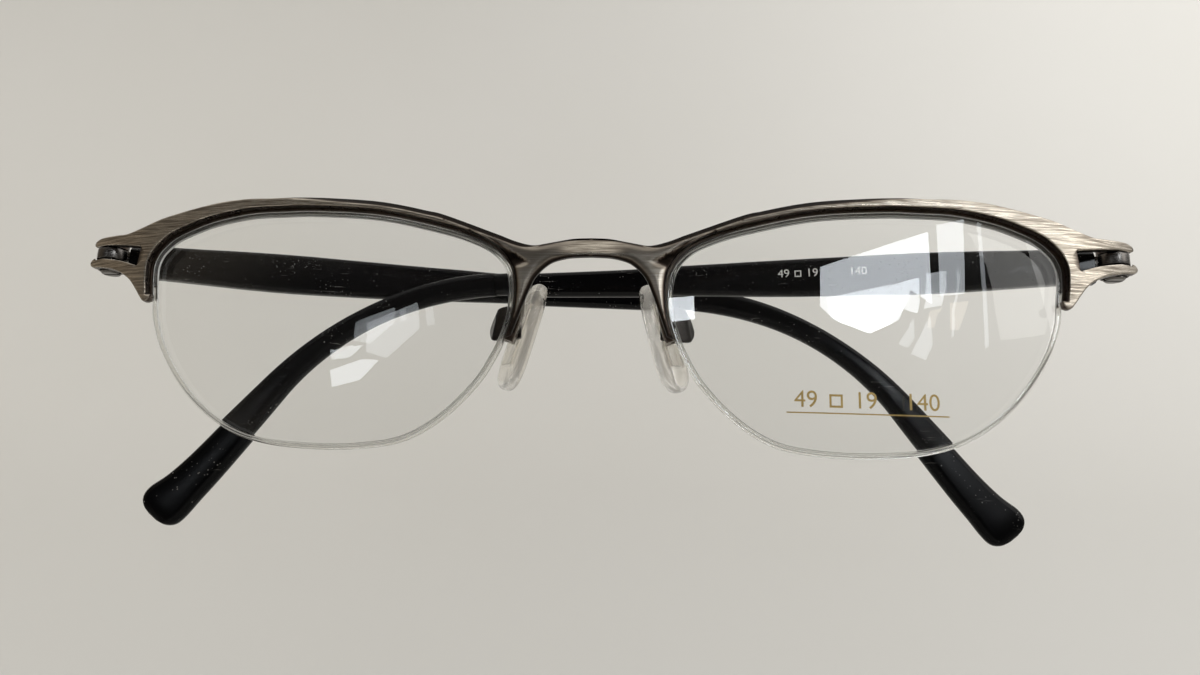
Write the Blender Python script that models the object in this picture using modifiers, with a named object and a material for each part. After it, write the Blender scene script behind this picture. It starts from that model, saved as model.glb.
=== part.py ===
"""Semi-rimless eyeglasses with their temples folded.

Units are metres. +Z is up as the glasses are worn, +X is the wearer's left, and the front faces -Y.
A metal front with a brow, a bridge and forked endpieces carries two grooved rim channels. Each lens sits
in its channel on a nylon liner, and a nylon cord in the groove of its edge holds it from below.
"""

import math

import bmesh
import bpy
from mathutils import Matrix, Vector
from mathutils.geometry import tessellate_polygon

MM = 0.001

# Lenses
LENS_WIDTH = 49.0 * MM
LENS_HEIGHT = 30.6 * MM
BRIDGE_WIDTH = 19.0 * MM
BASE_CURVE = 329.0 * MM
LENS_EDGE = 2.0 * MM
LENS_CENTRE = 1.5 * MM
GROOVE_WIDTH = 0.9 * MM
GROOVE_DEPTH = 0.55 * MM
CORD_RADIUS = 0.3 * MM
CORD_HOLD = 1.5 * MM
SEAM = 0.12 * MM
EDGE_STEP = 2.0 * MM

# Front
PLATE_THICKNESS = 1.2 * MM
EDGE_ROUNDING = 0.2 * MM
BROW_HEIGHT = 1.15 * MM
SHOULDER_HEIGHT = 1.97 * MM
RIM_REVEAL = 0.35 * MM
CHANNEL_WIDTH = 1.2 * MM
BRIDGE_DROP = 4.6 * MM
BRIDGE_HEIGHT = 2.5 * MM
NASAL_DROP = 0.4118 * LENS_HEIGHT
SPUR_DROP = 6.6 * MM
STRIP_WIDTH = 6.0 * MM
OVERRUN = 2.0 * MM

# Endpieces and hinges
ENDPIECE_REACH = 8.0 * MM
ENDPIECE_WRAP = 30.0 * MM
HINGE_DROP = 4.35 * MM
HINGE_SETBACK = 2.1 * MM
LUG_RADIUS = 1.8 * MM
LUG_HEIGHT = 1.15 * MM
HINGE_SLOT = 1.9 * MM
HINGE_GAP = 0.06 * MM
WASHER_THICKNESS = 0.15 * MM
KNUCKLE_RADIUS = 2.0 * MM
SCREW_RADIUS = 0.6 * MM
SCREW_HEAD_RADIUS = 1.3 * MM
SCREW_HEAD_HEIGHT = 0.55 * MM
SCREW_SLOT = 0.35 * MM
SCREW_SEAT = 0.15 * MM
TANG_LENGTH = 9.0 * MM
TANG_HEIGHT = 2.8 * MM
TANG_THICKNESS = 0.9 * MM

# Temples
TEMPLE_START = 2.5 * MM
TEMPLE_DROP = 0.8 * MM
TEMPLE_DROOP = math.radians(1.4)
BEND_START = 79.0 * MM
BEND_LENGTH = 34.5 * MM
BEND_ANGLE = math.radians(51.5)
BOW_START = 55.0 * MM
BOW_RADIUS = 320.0 * MM
CORE_LENGTH = 36.0 * MM
CORE_HEIGHT = 1.5 * MM
CORE_THICKNESS = 0.8 * MM
TIP_WALL_END = 0.6 * MM
FOLD_LEFT = math.radians(3.2)
FOLD_RIGHT = math.radians(8.2)

# Nose pads and their arms
PAD_INSET = 0.6 * MM
PAD_BACK = 4.4 * MM
PAD_RISE = -0.3 * MM
PAD_LENGTH = 14.4 * MM
PAD_WIDTH = 7.0 * MM
PAD_THICKNESS = 2.3 * MM
PAD_LEAN = math.radians(15.6)
PAD_SPLAY = math.radians(29.0)
PAD_CORE_LENGTH = 8.0 * MM
PAD_CORE_WIDTH = 3.4 * MM
PAD_CORE_THICKNESS = 0.6 * MM
BOSS_THICKNESS = 1.3 * MM
BOSS_RADIUS = 0.65 * MM
PAD_AXIS_DEPTH = 2.25 * MM
BOX_WALL = 0.45 * MM
BOX_LENGTH = 2.4 * MM
BOX_RIM_GAP = 0.35 * MM
PAD_SCREW_RADIUS = 0.3 * MM
PAD_SCREW_HEAD = 0.55 * MM
ARM_THICKNESS = 0.8 * MM

HINGE_X = BRIDGE_WIDTH / 2 + LENS_WIDTH + ENDPIECE_REACH
HINGE_HEIGHT = LENS_HEIGHT / 2 - HINGE_DROP
BRIDGE_TOP = LENS_HEIGHT / 2 - BRIDGE_DROP
CHANNEL_FRONT = PLATE_THICKNESS + SEAM
CHANNEL_BACK = CHANNEL_FRONT + LENS_EDGE
GROOVE_MIDDLE = CHANNEL_FRONT + LENS_EDGE / 2

# The lens's outline, as shares of its width from the nasal side and of its height from the middle
LENS_SHAPE = [
    (0.0, 0.113), (0.0015, 0.17), (0.0095, 0.224), (0.0285, 0.2745), (0.061, 0.3215), (0.1143, 0.3635),
    (0.192, 0.405), (0.36, 0.469), (0.536, 0.4965), (0.63, 0.5), (0.728, 0.498), (0.83, 0.472),
    (0.902, 0.435), (0.947, 0.402), (0.9735, 0.366), (0.99, 0.332), (1.0, 0.281), (0.998, 0.217),
    (0.991, 0.15), (0.981, 0.045), (0.938, -0.108), (0.8535, -0.282), (0.748, -0.41), (0.632, -0.4765),
    (0.477, -0.5), (0.345, -0.492), (0.25, -0.459), (0.161, -0.3715), (0.0815, -0.241), (0.039, -0.1275),
    (0.0155, -0.035), (0.004, 0.037),
]
# The bridge's upper edge: shares of half the bridge's width, millimetres below its top
BRIDGE_EDGE = [(0.0, 0.0), (0.22, 0.08), (0.42, 0.4), (0.61, 0.78), (0.76, 0.95), (0.96, 0.5), (1.25, -0.55)]
# The arch under the bridge and down the leg: shares of half the bridge's width, of the drop to the rim's end
ARCH = [
    (0.0, 0.0), (0.268, 0.014), (0.458, 0.058), (0.558, 0.112), (0.653, 0.196), (0.726, 0.295),
    (0.8, 0.465), (0.863, 0.635), (0.932, 0.825), (0.99, 0.98),
]
# The fork, in millimetres from the hinge's axis and from the middle of its slot
FORK_TOP = [
    (-9.6, 4.07), (-8.0, 3.55), (-6.2, 2.85), (-3.8, 2.15), (-2.0, 2.15), (0.6, 2.2), (1.7, 2.05), (2.45, 1.6),
    (2.1, 1.08), (0.0, 0.95), (-1.8, 0.75), (-6.3, 0.1),
]
FORK_LOW = [
    (-6.05, -2.55), (-3.3, -1.65), (-0.2, -0.95), (1.6, -0.62), (2.5, -0.8), (2.75, -1.35), (2.2, -1.85),
    (1.0, -2.05), (-0.2, -2.3), (-1.9, -2.7), (-3.6, -3.4), (-5.2, -4.45), (-6.4, -5.8), (-7.2, -6.85),
    (-7.9, -7.55), (-8.6, -7.4), (-8.85, -6.6),
]
# Along the temple, all in millimetres: distance from the hinge, height, thickness
TEMPLE_SECTIONS = [
    (2.5, 4.2, 2.3), (6.0, 4.5, 2.3), (12.0, 4.9, 2.2), (18.0, 5.3, 2.1), (25.0, 5.5, 2.0),
    (33.0, 5.3, 1.9), (45.0, 4.9, 1.8), (54.0, 4.3, 1.7), (63.0, 3.8, 1.6), (73.0, 3.4, 1.6), (80.0, 3.1, 1.6),
]
# The same along the tip, with how far its middle rises from the centre line where its end flares upwards
TIP_SECTIONS = [
    (80.2, 3.3, 2.3, 0.0), (84.0, 3.3, 2.5, 0.0), (88.0, 3.2, 2.6, 0.0), (92.0, 3.1, 2.6, 0.0),
    (96.0, 3.0, 2.6, 0.0), (100.0, 3.0, 2.6, 0.0), (104.0, 3.1, 2.6, 0.0), (108.0, 3.3, 2.6, 0.0),
    (112.0, 3.6, 2.6, 0.0), (119.0, 4.4, 2.5, 0.0), (126.0, 5.0, 2.4, 0.0), (130.0, 5.5, 2.3, 0.2),
    (132.6, 6.3, 2.2, 0.5), (134.0, 6.0, 2.0, 0.55), (134.8, 4.4, 1.7, 0.5), (135.1, 2.4, 1.2, 0.4),
]
# The start of the pad's arm, in millimetres: outwards from the lens's nasal side, centre's height, height
ARM_SECTIONS = [(-0.9, 0.1, 2.6), (0.3, 0.3, 3.2), (1.1, 0.6, 3.7)]


def clear_scene():
    for old in list(bpy.data.objects):
        bpy.data.objects.remove(old)


def collection(name):
    made = bpy.data.collections.new(name)
    bpy.context.scene.collection.children.link(made)
    return made


def material(name, color, roughness, metallic, alpha=1.0):
    made = bpy.data.materials.new(name)
    made.use_nodes = True
    shader = made.node_tree.nodes["Principled BSDF"]
    shader.inputs["Base Color"].default_value = (*color, 1.0)
    shader.inputs["Roughness"].default_value = roughness
    shader.inputs["Metallic"].default_value = metallic
    shader.inputs["Alpha"].default_value = alpha
    return made


def smooth(points, step, closed=False):
    """Points about a step apart on a Catmull-Rom curve through the given ones."""
    points = [Vector(p) for p in points]
    count = len(points)
    made = []
    for i in range(count if closed else count - 1):
        if closed:
            p0, p1, p2, p3 = (points[(i + k) % count] for k in (-1, 0, 1, 2))
        else:
            p1, p2 = points[i], points[i + 1]
            p0 = points[i - 1] if i else p1 * 2 - p2
            p3 = points[i + 2] if i + 2 < count else p2 * 2 - p1
        pieces = max(1, round((p2 - p1).length / step))
        for j in range(pieces):
            t = j / pieces
            bend = (2 * p0 - 5 * p1 + 4 * p2 - p3) * t * t + (3 * p1 - p0 - 3 * p2 + p3) * t ** 3
            made.append(0.5 * (2 * p1 + (p2 - p0) * t + bend))
    if not closed:
        made.append(points[-1])
    return made


def sheet(x, z):
    """How far behind the bridge's face the front's surface lies: a sphere that wraps more at the endpieces."""
    past_lens = max(0.0, abs(x) - (BRIDGE_WIDTH / 2 + LENS_WIDTH))
    return (x * x + z * z) / (2 * BASE_CURVE) + past_lens ** 2 / (2 * ENDPIECE_WRAP)


def edge_stations(step):
    """(point, outward normal) pairs clockwise round the lens, seen from the front, from its nasal side."""
    corners = [(BRIDGE_WIDTH / 2 + u * LENS_WIDTH, v * LENS_HEIGHT) for u, v in LENS_SHAPE]
    outline = smooth(corners, step, closed=True)
    stations = []
    for i, point in enumerate(outline):
        along = (outline[(i + 1) % len(outline)] - outline[i - 1]).normalized()
        stations.append((point, Vector((-along.y, along.x))))
    return stations


def last_wanted(inner, outer, wanted):
    """The last place that passes the test on the way from one station to the next."""
    low, high = 0.0, 1.0
    for _ in range(24):
        share = (low + high) / 2
        if wanted(inner[0].lerp(outer[0], share)):
            low = share
        else:
            high = share
    return inner[0].lerp(outer[0], low), inner[1].lerp(outer[1], low).normalized()


def run_of(stations, wanted):
    """The unbroken run of stations round the lens that pass the test, with its two ends where the test flips."""
    count = len(stations)
    first = next(i for i in range(count) if wanted(stations[i][0]) and not wanted(stations[i - 1][0]))
    run = []
    while wanted(stations[(first + len(run)) % count][0]):
        run.append(stations[(first + len(run)) % count])
    start = last_wanted(run[0], stations[first - 1], wanted)
    end = last_wanted(run[-1], stations[(first + len(run)) % count], wanted)
    near = 0.4 * (run[1][0] - run[0][0]).length
    inner = [one for one in run if min((one[0] - start[0]).length, (one[0] - end[0]).length) > near]
    return [start] + inner + [end]


def in_rim(point, trim=0.0):
    if point.x > (BRIDGE_WIDTH + LENS_WIDTH) / 2:
        return point.y > HINGE_HEIGHT - SPUR_DROP + trim
    return point.y > BRIDGE_TOP - NASAL_DROP + trim


def at_edge(station, side, out, depth):
    """A place at the lens's edge: outwards from the edge, and in depth behind the front's surface."""
    point, normal = station
    x, z = point + normal * out
    return Vector((side * x, sheet(x, z) + depth, z))


def add_object(name, mesh, group, finish=None, parent=None):
    made = bpy.data.objects.new(name, mesh)
    group.objects.link(made)
    if finish:
        mesh.materials.append(finish)
    if parent:
        made.parent = parent
    return made


def mesh_from(name, build):
    """A mesh whose bmesh the given function fills, with its faces turned outwards."""
    shape = bmesh.new()
    build(shape)
    bmesh.ops.recalc_face_normals(shape, faces=shape.faces)
    mesh = bpy.data.meshes.new(name)
    shape.to_mesh(mesh)
    shape.free()
    return mesh


def loft(name, rings):
    """A closed skin through rings of equally many points, with a flat face at each end."""

    def build(shape):
        loops = [[shape.verts.new(p) for p in ring] for ring in rings]
        for first, second in zip(loops, loops[1:]):
            for i in range(len(first)):
                j = (i + 1) % len(first)
                shape.faces.new((first[i], first[j], second[j], second[i]))
        shape.faces.new(loops[0])
        shape.faces.new(loops[-1])

    return mesh_from(name, build)


def shaded(obj, angle=35.0):
    obj.data.shade_smooth()
    obj.data.set_sharp_from_angle(angle=math.radians(angle))
    return obj


def turned(name, profile, group, finish=None, steps=24):
    """A turned shape about Z, from (radius, height) pairs."""

    def build(shape):
        verts = [shape.verts.new((radius, 0, height)) for radius, height in profile]
        for first, second in zip(verts, verts[1:]):
            shape.edges.new((first, second))
        if profile[0][0] > 0:
            shape.edges.new((verts[-1], verts[0]))

    obj = add_object(name, mesh_from(name, build), group, finish)
    turn = obj.modifiers.new("turn", "SCREW")
    turn.steps = turn.render_steps = steps
    turn.use_merge_vertices = True
    turn.merge_threshold = 1e-6
    turn.use_normal_calculate = True
    turn.use_normal_flip = True
    turn.use_smooth_shade = False
    return obj


def disc(name, radius, low, high, group, finish=None, hole=0.0, steps=24):
    if hole:
        profile = [(hole, high), (radius, high), (radius, low), (hole, low)]
    else:
        profile = [(0, high), (radius, high), (radius, low), (0, low)]
    return turned(name, profile, group, finish, steps)


def block(name, low, high, group, finish=None):
    def build(shape):
        bmesh.ops.create_cube(shape, size=1.0)
        for vert in shape.verts:
            for k in range(3):
                vert.co[k] = low[k] if vert.co[k] < 0 else high[k]

    return add_object(name, mesh_from(name, build), group, finish)


def helper(obj, matrix=None):
    obj.hide_render = True
    obj.display_type = "WIRE"
    if matrix is not None:
        obj.matrix_world = matrix
    return obj


def boolean(obj, other, operation):
    change = obj.modifiers.new(operation.lower(), "BOOLEAN")
    change.operation = operation
    change.object = other
    change.solver = "EXACT"


def hinge_place(side):
    return Vector((side * HINGE_X, sheet(HINGE_X, HINGE_HEIGHT) + HINGE_SETBACK, HINGE_HEIGHT))


def front_outline():
    """The outline of the front's left half: brow, fork, spur, rim, leg and arch, clockwise."""
    half = BRIDGE_WIDTH / 2
    rim = run_of(edge_stations(1.5 * MM), in_rim)
    top = [Vector((half * u, BRIDGE_TOP - drop * MM)) for u, drop in BRIDGE_EDGE]
    for point, normal in rim[::2]:
        share = (point.x - half) / LENS_WIDTH if point.y > 0.33 * LENS_HEIGHT else 0.0
        if 0.14 < share < 0.9:
            rise = max(0.0, (share - 0.68) / 0.22)
            top.append(point + normal * (RIM_REVEAL + BROW_HEIGHT + (SHOULDER_HEIGHT - BROW_HEIGHT) * rise))
    top += [Vector((HINGE_X + x * MM, HINGE_HEIGHT + z * MM)) for x, z in FORK_TOP]
    low = [Vector((HINGE_X + x * MM, HINGE_HEIGHT + z * MM)) for x, z in FORK_LOW]
    under = BRIDGE_TOP - BRIDGE_HEIGHT
    drop = under - (BRIDGE_TOP - NASAL_DROP)
    arch = [Vector((half * u, under - drop * share)) for u, share in ARCH]
    overrun = Vector((-OVERRUN, 0.0))
    outline = [top[0] + overrun]
    outline += smooth(top, 1.3 * MM)
    outline += smooth(low, 1.0 * MM)
    outline += [point + normal * RIM_REVEAL for point, normal in reversed(rim)]
    outline += smooth(arch[::-1], 1.2 * MM)
    outline.append(arch[0] + overrun)
    return outline


def inset(outline, amount):
    """The outline moved inwards, which for a clockwise one is to the right of its run."""
    moved = []
    for i, point in enumerate(outline):
        before = (point - outline[i - 1]).normalized()
        after = (outline[(i + 1) % len(outline)] - point).normalized()
        along = before + after
        reach = max(0.5, along.length / 2)
        along.normalize()
        moved.append(point + Vector((along.y, -along.x)) * amount / reach)
    return moved


def flat_plate(name, outline, thickness, rounding, group, finish):
    """The outline as a plate with eased edges that stands in the XZ plane."""
    kept = [outline[0]]
    for point in outline[1:]:
        if (point - kept[-1]).length > 1.5 * rounding and (point - kept[0]).length > 1.5 * rounding:
            kept.append(point)
    edge = [(1.0, 0.0), (0.0, 1.0)]
    levels = [(inward * rounding, height * rounding - thickness / 2) for inward, height in edge]
    levels += [(inward, -height) for inward, height in reversed(levels)]

    def build(shape):
        loops = [[shape.verts.new((p.x, depth, p.y)) for p in inset(kept, inward)] for inward, depth in levels]
        for first, second in zip(loops, loops[1:]):
            for i in range(len(first)):
                j = (i + 1) % len(first)
                shape.faces.new((first[i], first[j], second[j], second[i]))
        flat = [Vector((p.x, p.y, 0)) for p in inset(kept, rounding)]
        for corners in tessellate_polygon([flat]):
            shape.faces.new([loops[0][k] for k in corners])
            shape.faces.new([loops[-1][k] for k in corners])

    return add_object(name, mesh_from(name, build), group, finish)


def bend_to_sheet(obj, spacing):
    """Cuts the flat plate into strips and lays it on the front's curved surface."""
    shape = bmesh.new()
    shape.from_mesh(obj.data)
    bmesh.ops.remove_doubles(shape, verts=shape.verts, dist=1e-6)
    reach = max(vert.co.x for vert in shape.verts)
    for i in range(1, int(reach / spacing) + 1):
        everything = shape.verts[:] + shape.edges[:] + shape.faces[:]
        bmesh.ops.bisect_plane(shape, geom=everything, dist=1e-7, plane_co=(i * spacing, 0, 0), plane_no=(1, 0, 0))
    for vert in shape.verts:
        vert.co.y += PLATE_THICKNESS / 2 + sheet(vert.co.x, vert.co.z)
    bmesh.ops.recalc_face_normals(shape, faces=shape.faces)
    shape.to_mesh(obj.data)
    shape.free()


def make_front(group, cutters, finish):
    front = flat_plate("front_frame", front_outline(), PLATE_THICKNESS, EDGE_ROUNDING, group, finish)
    bend_to_sheet(front, STRIP_WIDTH)
    axis = Matrix.Translation(hinge_place(1))
    middle = HINGE_SLOT / 2
    end = middle + LUG_HEIGHT
    for name, low, high in (("upper_lug", middle / 2, end), ("lower_lug", -end, -middle / 2)):
        boolean(front, helper(disc(name, LUG_RADIUS, low, high, cutters), axis), "UNION")
    bore = SCREW_RADIUS + HINGE_GAP
    room = KNUCKLE_RADIUS + HINGE_GAP + SEAM
    head = SCREW_HEAD_RADIUS + HINGE_GAP + SEAM
    top, seat, below = middle + 0.75 * LUG_HEIGHT, SCREW_SEAT - end, -3 * end
    profile = [
        (0, top), (bore, top), (bore, middle), (room, middle), (room, -middle), (bore, -middle), (bore, seat),
        (head, seat), (head, below), (0, below),
    ]
    boolean(front, helper(turned("hinge_room", profile, cutters), axis), "DIFFERENCE")
    mirror = front.modifiers.new("mirror", "MIRROR")
    mirror.use_bisect_axis[0] = True
    mirror.merge_threshold = 1e-5
    return shaded(front)


def make_rim(side, label, group, finishes):
    wall = (LENS_EDGE - GROOVE_WIDTH) / 2
    front, back = CHANNEL_FRONT, CHANNEL_BACK
    near, far, floor = SEAM, SEAM + CHANNEL_WIDTH, SEAM + GROOVE_DEPTH
    section = [
        (near, front), (far, front), (far, back), (near, back), (near, back - wall), (floor, back - wall),
        (floor, front + wall), (near, front + wall),
    ]
    held = run_of(edge_stations(EDGE_STEP), in_rim)
    name = f"rim_channel_{label}"
    rings = [[at_edge(station, side, out, depth) for out, depth in section] for station in held]
    shaded(add_object(name, loft(name, rings), group, finishes["rim"]))

    trim = CORD_HOLD + CORD_RADIUS + SEAM
    lined = run_of(edge_stations(EDGE_STEP), lambda point: in_rim(point, trim))
    half = GROOVE_WIDTH / 2 - SEAM
    low, high = SEAM - GROOVE_DEPTH, GROOVE_DEPTH
    section = [
        (low, GROOVE_MIDDLE - half), (high, GROOVE_MIDDLE - half), (high, GROOVE_MIDDLE + half),
        (low, GROOVE_MIDDLE + half),
    ]
    name = f"rim_liner_{label}"
    rings = [[at_edge(station, side, out, depth) for out, depth in section] for station in lined]
    shaded(add_object(name, loft(name, rings), group, finishes["nylon"]))


def make_lens(side, label, group, finish):
    stations = edge_stations(EDGE_STEP)
    centre = Vector(((BRIDGE_WIDTH + LENS_WIDTH) / 2, 0.0))
    wall = (LENS_EDGE - GROOVE_WIDTH) / 2
    front, back = CHANNEL_FRONT, CHANNEL_BACK

    def face_ring(share, depth):
        ring = []
        for point, _ in stations:
            x, z = centre + (point - centre) * share
            ring.append(Vector((side * x, sheet(x, z) + depth, z)))
        return ring

    shares = (0.4, 0.8)
    rings = [face_ring(share, front) for share in shares]
    edge = [
        (0, front), (0, front + wall), (-GROOVE_DEPTH, front + wall), (-GROOVE_DEPTH, back - wall),
        (0, back - wall), (0, back),
    ]
    rings += [[at_edge(station, side, out, depth) for station in stations] for out, depth in edge]
    hollow = LENS_EDGE - LENS_CENTRE
    rings += [face_ring(share, back - hollow * (1 - share ** 2)) for share in reversed(shares)]
    name = f"lens_{label}"
    shaded(add_object(name, loft(name, rings), group, finish))


def make_cord(side, label, group, finish):
    held = run_of(edge_stations(EDGE_STEP), lambda point: not in_rim(point, CORD_HOLD))
    centre = SEAM + CORD_RADIUS - GROOVE_DEPTH
    name = f"lens_cord_{label}"
    curve = bpy.data.curves.new(name, "CURVE")
    curve.dimensions = "3D"
    curve.bevel_depth = CORD_RADIUS
    curve.bevel_resolution = 1
    curve.use_fill_caps = True
    spline = curve.splines.new("POLY")
    spline.points.add(len(held) - 1)
    for place, station in zip(spline.points, held):
        place.co = (*at_edge(station, side, centre, GROOVE_MIDDLE), 1)
    curve.materials.append(finish)
    group.objects.link(bpy.data.objects.new(name, curve))


def temple_path(hand, place):
    """(distance, bow, height) of the temple's centre line and its slope at a length from the hinge."""
    straight = min(place, BEND_START)
    distance = straight * math.cos(TEMPLE_DROOP)
    height = -TEMPLE_DROP - straight * math.sin(TEMPLE_DROOP)
    bent = min(max(0.0, place - BEND_START), BEND_LENGTH)
    slope = TEMPLE_DROOP + BEND_ANGLE * bent / BEND_LENGTH
    if bent:
        rate = BEND_ANGLE / BEND_LENGTH
        distance += (math.sin(slope) - math.sin(TEMPLE_DROOP)) / rate
        height += (math.cos(slope) - math.cos(TEMPLE_DROOP)) / rate
    rest = max(0.0, place - BEND_START - BEND_LENGTH)
    distance += rest * math.cos(slope)
    height -= rest * math.sin(slope)
    bow = -max(0.0, distance - BOW_START) ** 2 / (2 * BOW_RADIUS)
    return Vector((distance, hand * bow, height)), slope


def rounded_section(height, thickness, corner):
    """(across, up) points of a rectangle with rounded corners."""
    corner = min(corner, 0.46 * thickness, 0.46 * height)
    made = []
    for turn in range(4):
        across = (thickness / 2 - corner) * (1 if turn in (0, 3) else -1)
        up = (height / 2 - corner) * (1 if turn < 2 else -1)
        for step in (0, 1, 2):
            angle = math.pi / 2 * (turn + step / 2)
            made.append((across + corner * math.cos(angle), up + corner * math.sin(angle)))
    return made


def temple_ring(hand, place, height, thickness, corner, lift=0.0):
    centre, slope = temple_path(hand, place)
    up = Vector((math.sin(slope), 0, math.cos(slope)))
    ring = []
    for across, rise in rounded_section(height, thickness, corner):
        ring.append(centre + up * (rise + lift) + Vector((0, hand * across, 0)))
    return ring


def make_temple(side, label, fold, group, cutters, finishes):
    hand = -side
    axis = bpy.data.objects.new(f"temple_axis_{label}", None)
    axis.location = hinge_place(side)
    axis.rotation_euler.z = fold if side < 0 else math.pi - fold
    group.objects.link(axis)
    bpy.context.view_layer.update()
    start, end = TEMPLE_START, TEMPLE_SECTIONS[-1][0] * MM
    core_end = end + CORE_LENGTH
    pocket = start + TANG_LENGTH + SEAM
    rings = [
        temple_ring(hand, place, TANG_HEIGHT + 2 * SEAM, TANG_THICKNESS + 2 * SEAM, SEAM) for place in (pocket, start)
    ]
    rings += [temple_ring(hand, s * MM, h * MM, t * MM, 0.7 * MM) for s, h, t in TEMPLE_SECTIONS]
    core_places = [end + CORE_LENGTH * share / 9 for share in range(10)]
    rings += [temple_ring(hand, place, CORE_HEIGHT, CORE_THICKNESS, 0.3 * MM) for place in core_places]
    name = f"temple_{label}"
    shaded(add_object(name, loft(name, rings), group, finishes["temple"], axis))

    bore = [core_end + TIP_WALL_END] + core_places[::-1]
    bore[-1] = TIP_SECTIONS[0][0] * MM
    wide, tall = CORE_THICKNESS + 2 * SEAM, CORE_HEIGHT + 2 * SEAM
    rings = [temple_ring(hand, place, tall, wide, 0.3 * MM) for place in bore]
    rings += [temple_ring(hand, s * MM, h * MM, t * MM, 1.1 * MM, lift * MM) for s, h, t, lift in TIP_SECTIONS]
    name = f"temple_tip_{label}"
    shaded(add_object(name, loft(name, rings), group, finishes["tip"], axis))

    name = f"temple_hinge_{label}"
    knuckle = HINGE_SLOT / 2 - WASHER_THICKNESS - 2 * HINGE_GAP
    neck = [(0.6 * MM, knuckle, -knuckle), (start + SEAM, knuckle, -knuckle)]
    rings = []
    for place, top, bottom in neck:
        wide = hand * TANG_THICKNESS / 2
        rings.append([Vector((place, y, z)) for y, z in ((-wide, bottom), (wide, bottom), (wide, top), (-wide, top))])
    for place in (start + 3 * SEAM, start + TANG_LENGTH):
        centre, slope = temple_path(hand, place)
        up = Vector((math.sin(slope), 0, math.cos(slope))) * TANG_HEIGHT / 2
        wide = Vector((0, hand * TANG_THICKNESS / 2, 0))
        rings.append([centre - wide - up, centre + wide - up, centre + wide + up, centre - wide + up])
    hinge = add_object(name, loft(name, rings), group, finishes["steel"], axis)
    place = axis.matrix_world.copy()
    boolean(hinge, helper(disc(f"knuckle_{label}", KNUCKLE_RADIUS, -knuckle, knuckle, cutters), place), "UNION")
    reach = HINGE_SLOT
    bore = disc(f"knuckle_bore_{label}", SCREW_RADIUS + HINGE_GAP, -reach, reach, cutters)
    boolean(hinge, helper(bore, place), "DIFFERENCE")
    shaded(hinge)
    return axis


def make_hinge_screw(side, label, group, cutters, finish):
    middle = HINGE_SLOT / 2
    foot = SCREW_SEAT - middle - LUG_HEIGHT - HINGE_GAP
    top = middle + 0.75 * LUG_HEIGHT - HINGE_GAP
    name = f"hinge_screw_{label}"
    head = foot - SCREW_HEAD_HEIGHT
    profile = [
        (0, top), (SCREW_RADIUS, top), (SCREW_RADIUS, foot), (SCREW_HEAD_RADIUS, foot),
        (SCREW_HEAD_RADIUS, foot - 0.6 * SCREW_HEAD_HEIGHT), (0.75 * SCREW_HEAD_RADIUS, head), (0, head),
    ]
    screw = turned(name, profile, group, finish)
    screw.location = hinge_place(side)
    half = SCREW_SLOT / 2
    reach = 2 * SCREW_HEAD_RADIUS
    slot = block(f"screw_slot_{label}", (-reach, -half, 2 * head), (reach, half, head + 0.5 * SCREW_HEAD_HEIGHT), cutters)
    boolean(screw, helper(slot, Matrix.Translation(hinge_place(side))), "DIFFERENCE")
    for level, sign in (("upper", 1), ("lower", -1)):
        near = sign * (middle - HINGE_GAP)
        far = sign * (middle - HINGE_GAP - WASHER_THICKNESS)
        name = f"hinge_washer_{level}_{label}"
        hole = SCREW_RADIUS + HINGE_GAP
        washer = disc(name, 0.8 * KNUCKLE_RADIUS, min(near, far), max(near, far), group, finish, hole, 16)
        washer.location = hinge_place(side)


def pad_frame(side):
    """The pad's place, with its length up X, its width towards the face on Y, its thickness to the nose on Z."""
    length = Vector((-side * math.sin(PAD_LEAN), 0, math.cos(PAD_LEAN)))
    width = Vector((side * math.sin(PAD_SPLAY), math.cos(PAD_SPLAY), 0))
    width = (width - length * width.dot(length)).normalized()
    if side < 0:
        length = -length
    frame = Matrix((length, width, length.cross(width))).transposed().to_4x4()
    frame.translation = Vector((side * (BRIDGE_WIDTH / 2 - PAD_INSET), CHANNEL_BACK + PAD_BACK, PAD_RISE))
    return frame


def pad_ring(side, share, half_width, swell):
    """A cross-section of the pad: flat towards its arm, rounded towards the nose."""
    up = side * share * PAD_LENGTH / 2
    back = -PAD_THICKNESS / 2
    ring = []
    for across, rise in (
        (-1.0, 0.35), (-0.86, 0.08), (-0.6, 0.0), (0.6, 0.0), (0.86, 0.08), (1.0, 0.35), (0.9, 0.66), (0.6, 0.9),
        (0.2, 1.0), (-0.2, 1.0), (-0.6, 0.9), (-0.9, 0.66),
    ):
        level = back + PAD_THICKNESS * (0.5 + (rise - 0.5) * swell)
        ring.append(Vector((up, across * half_width, level)))
    return ring


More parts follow.
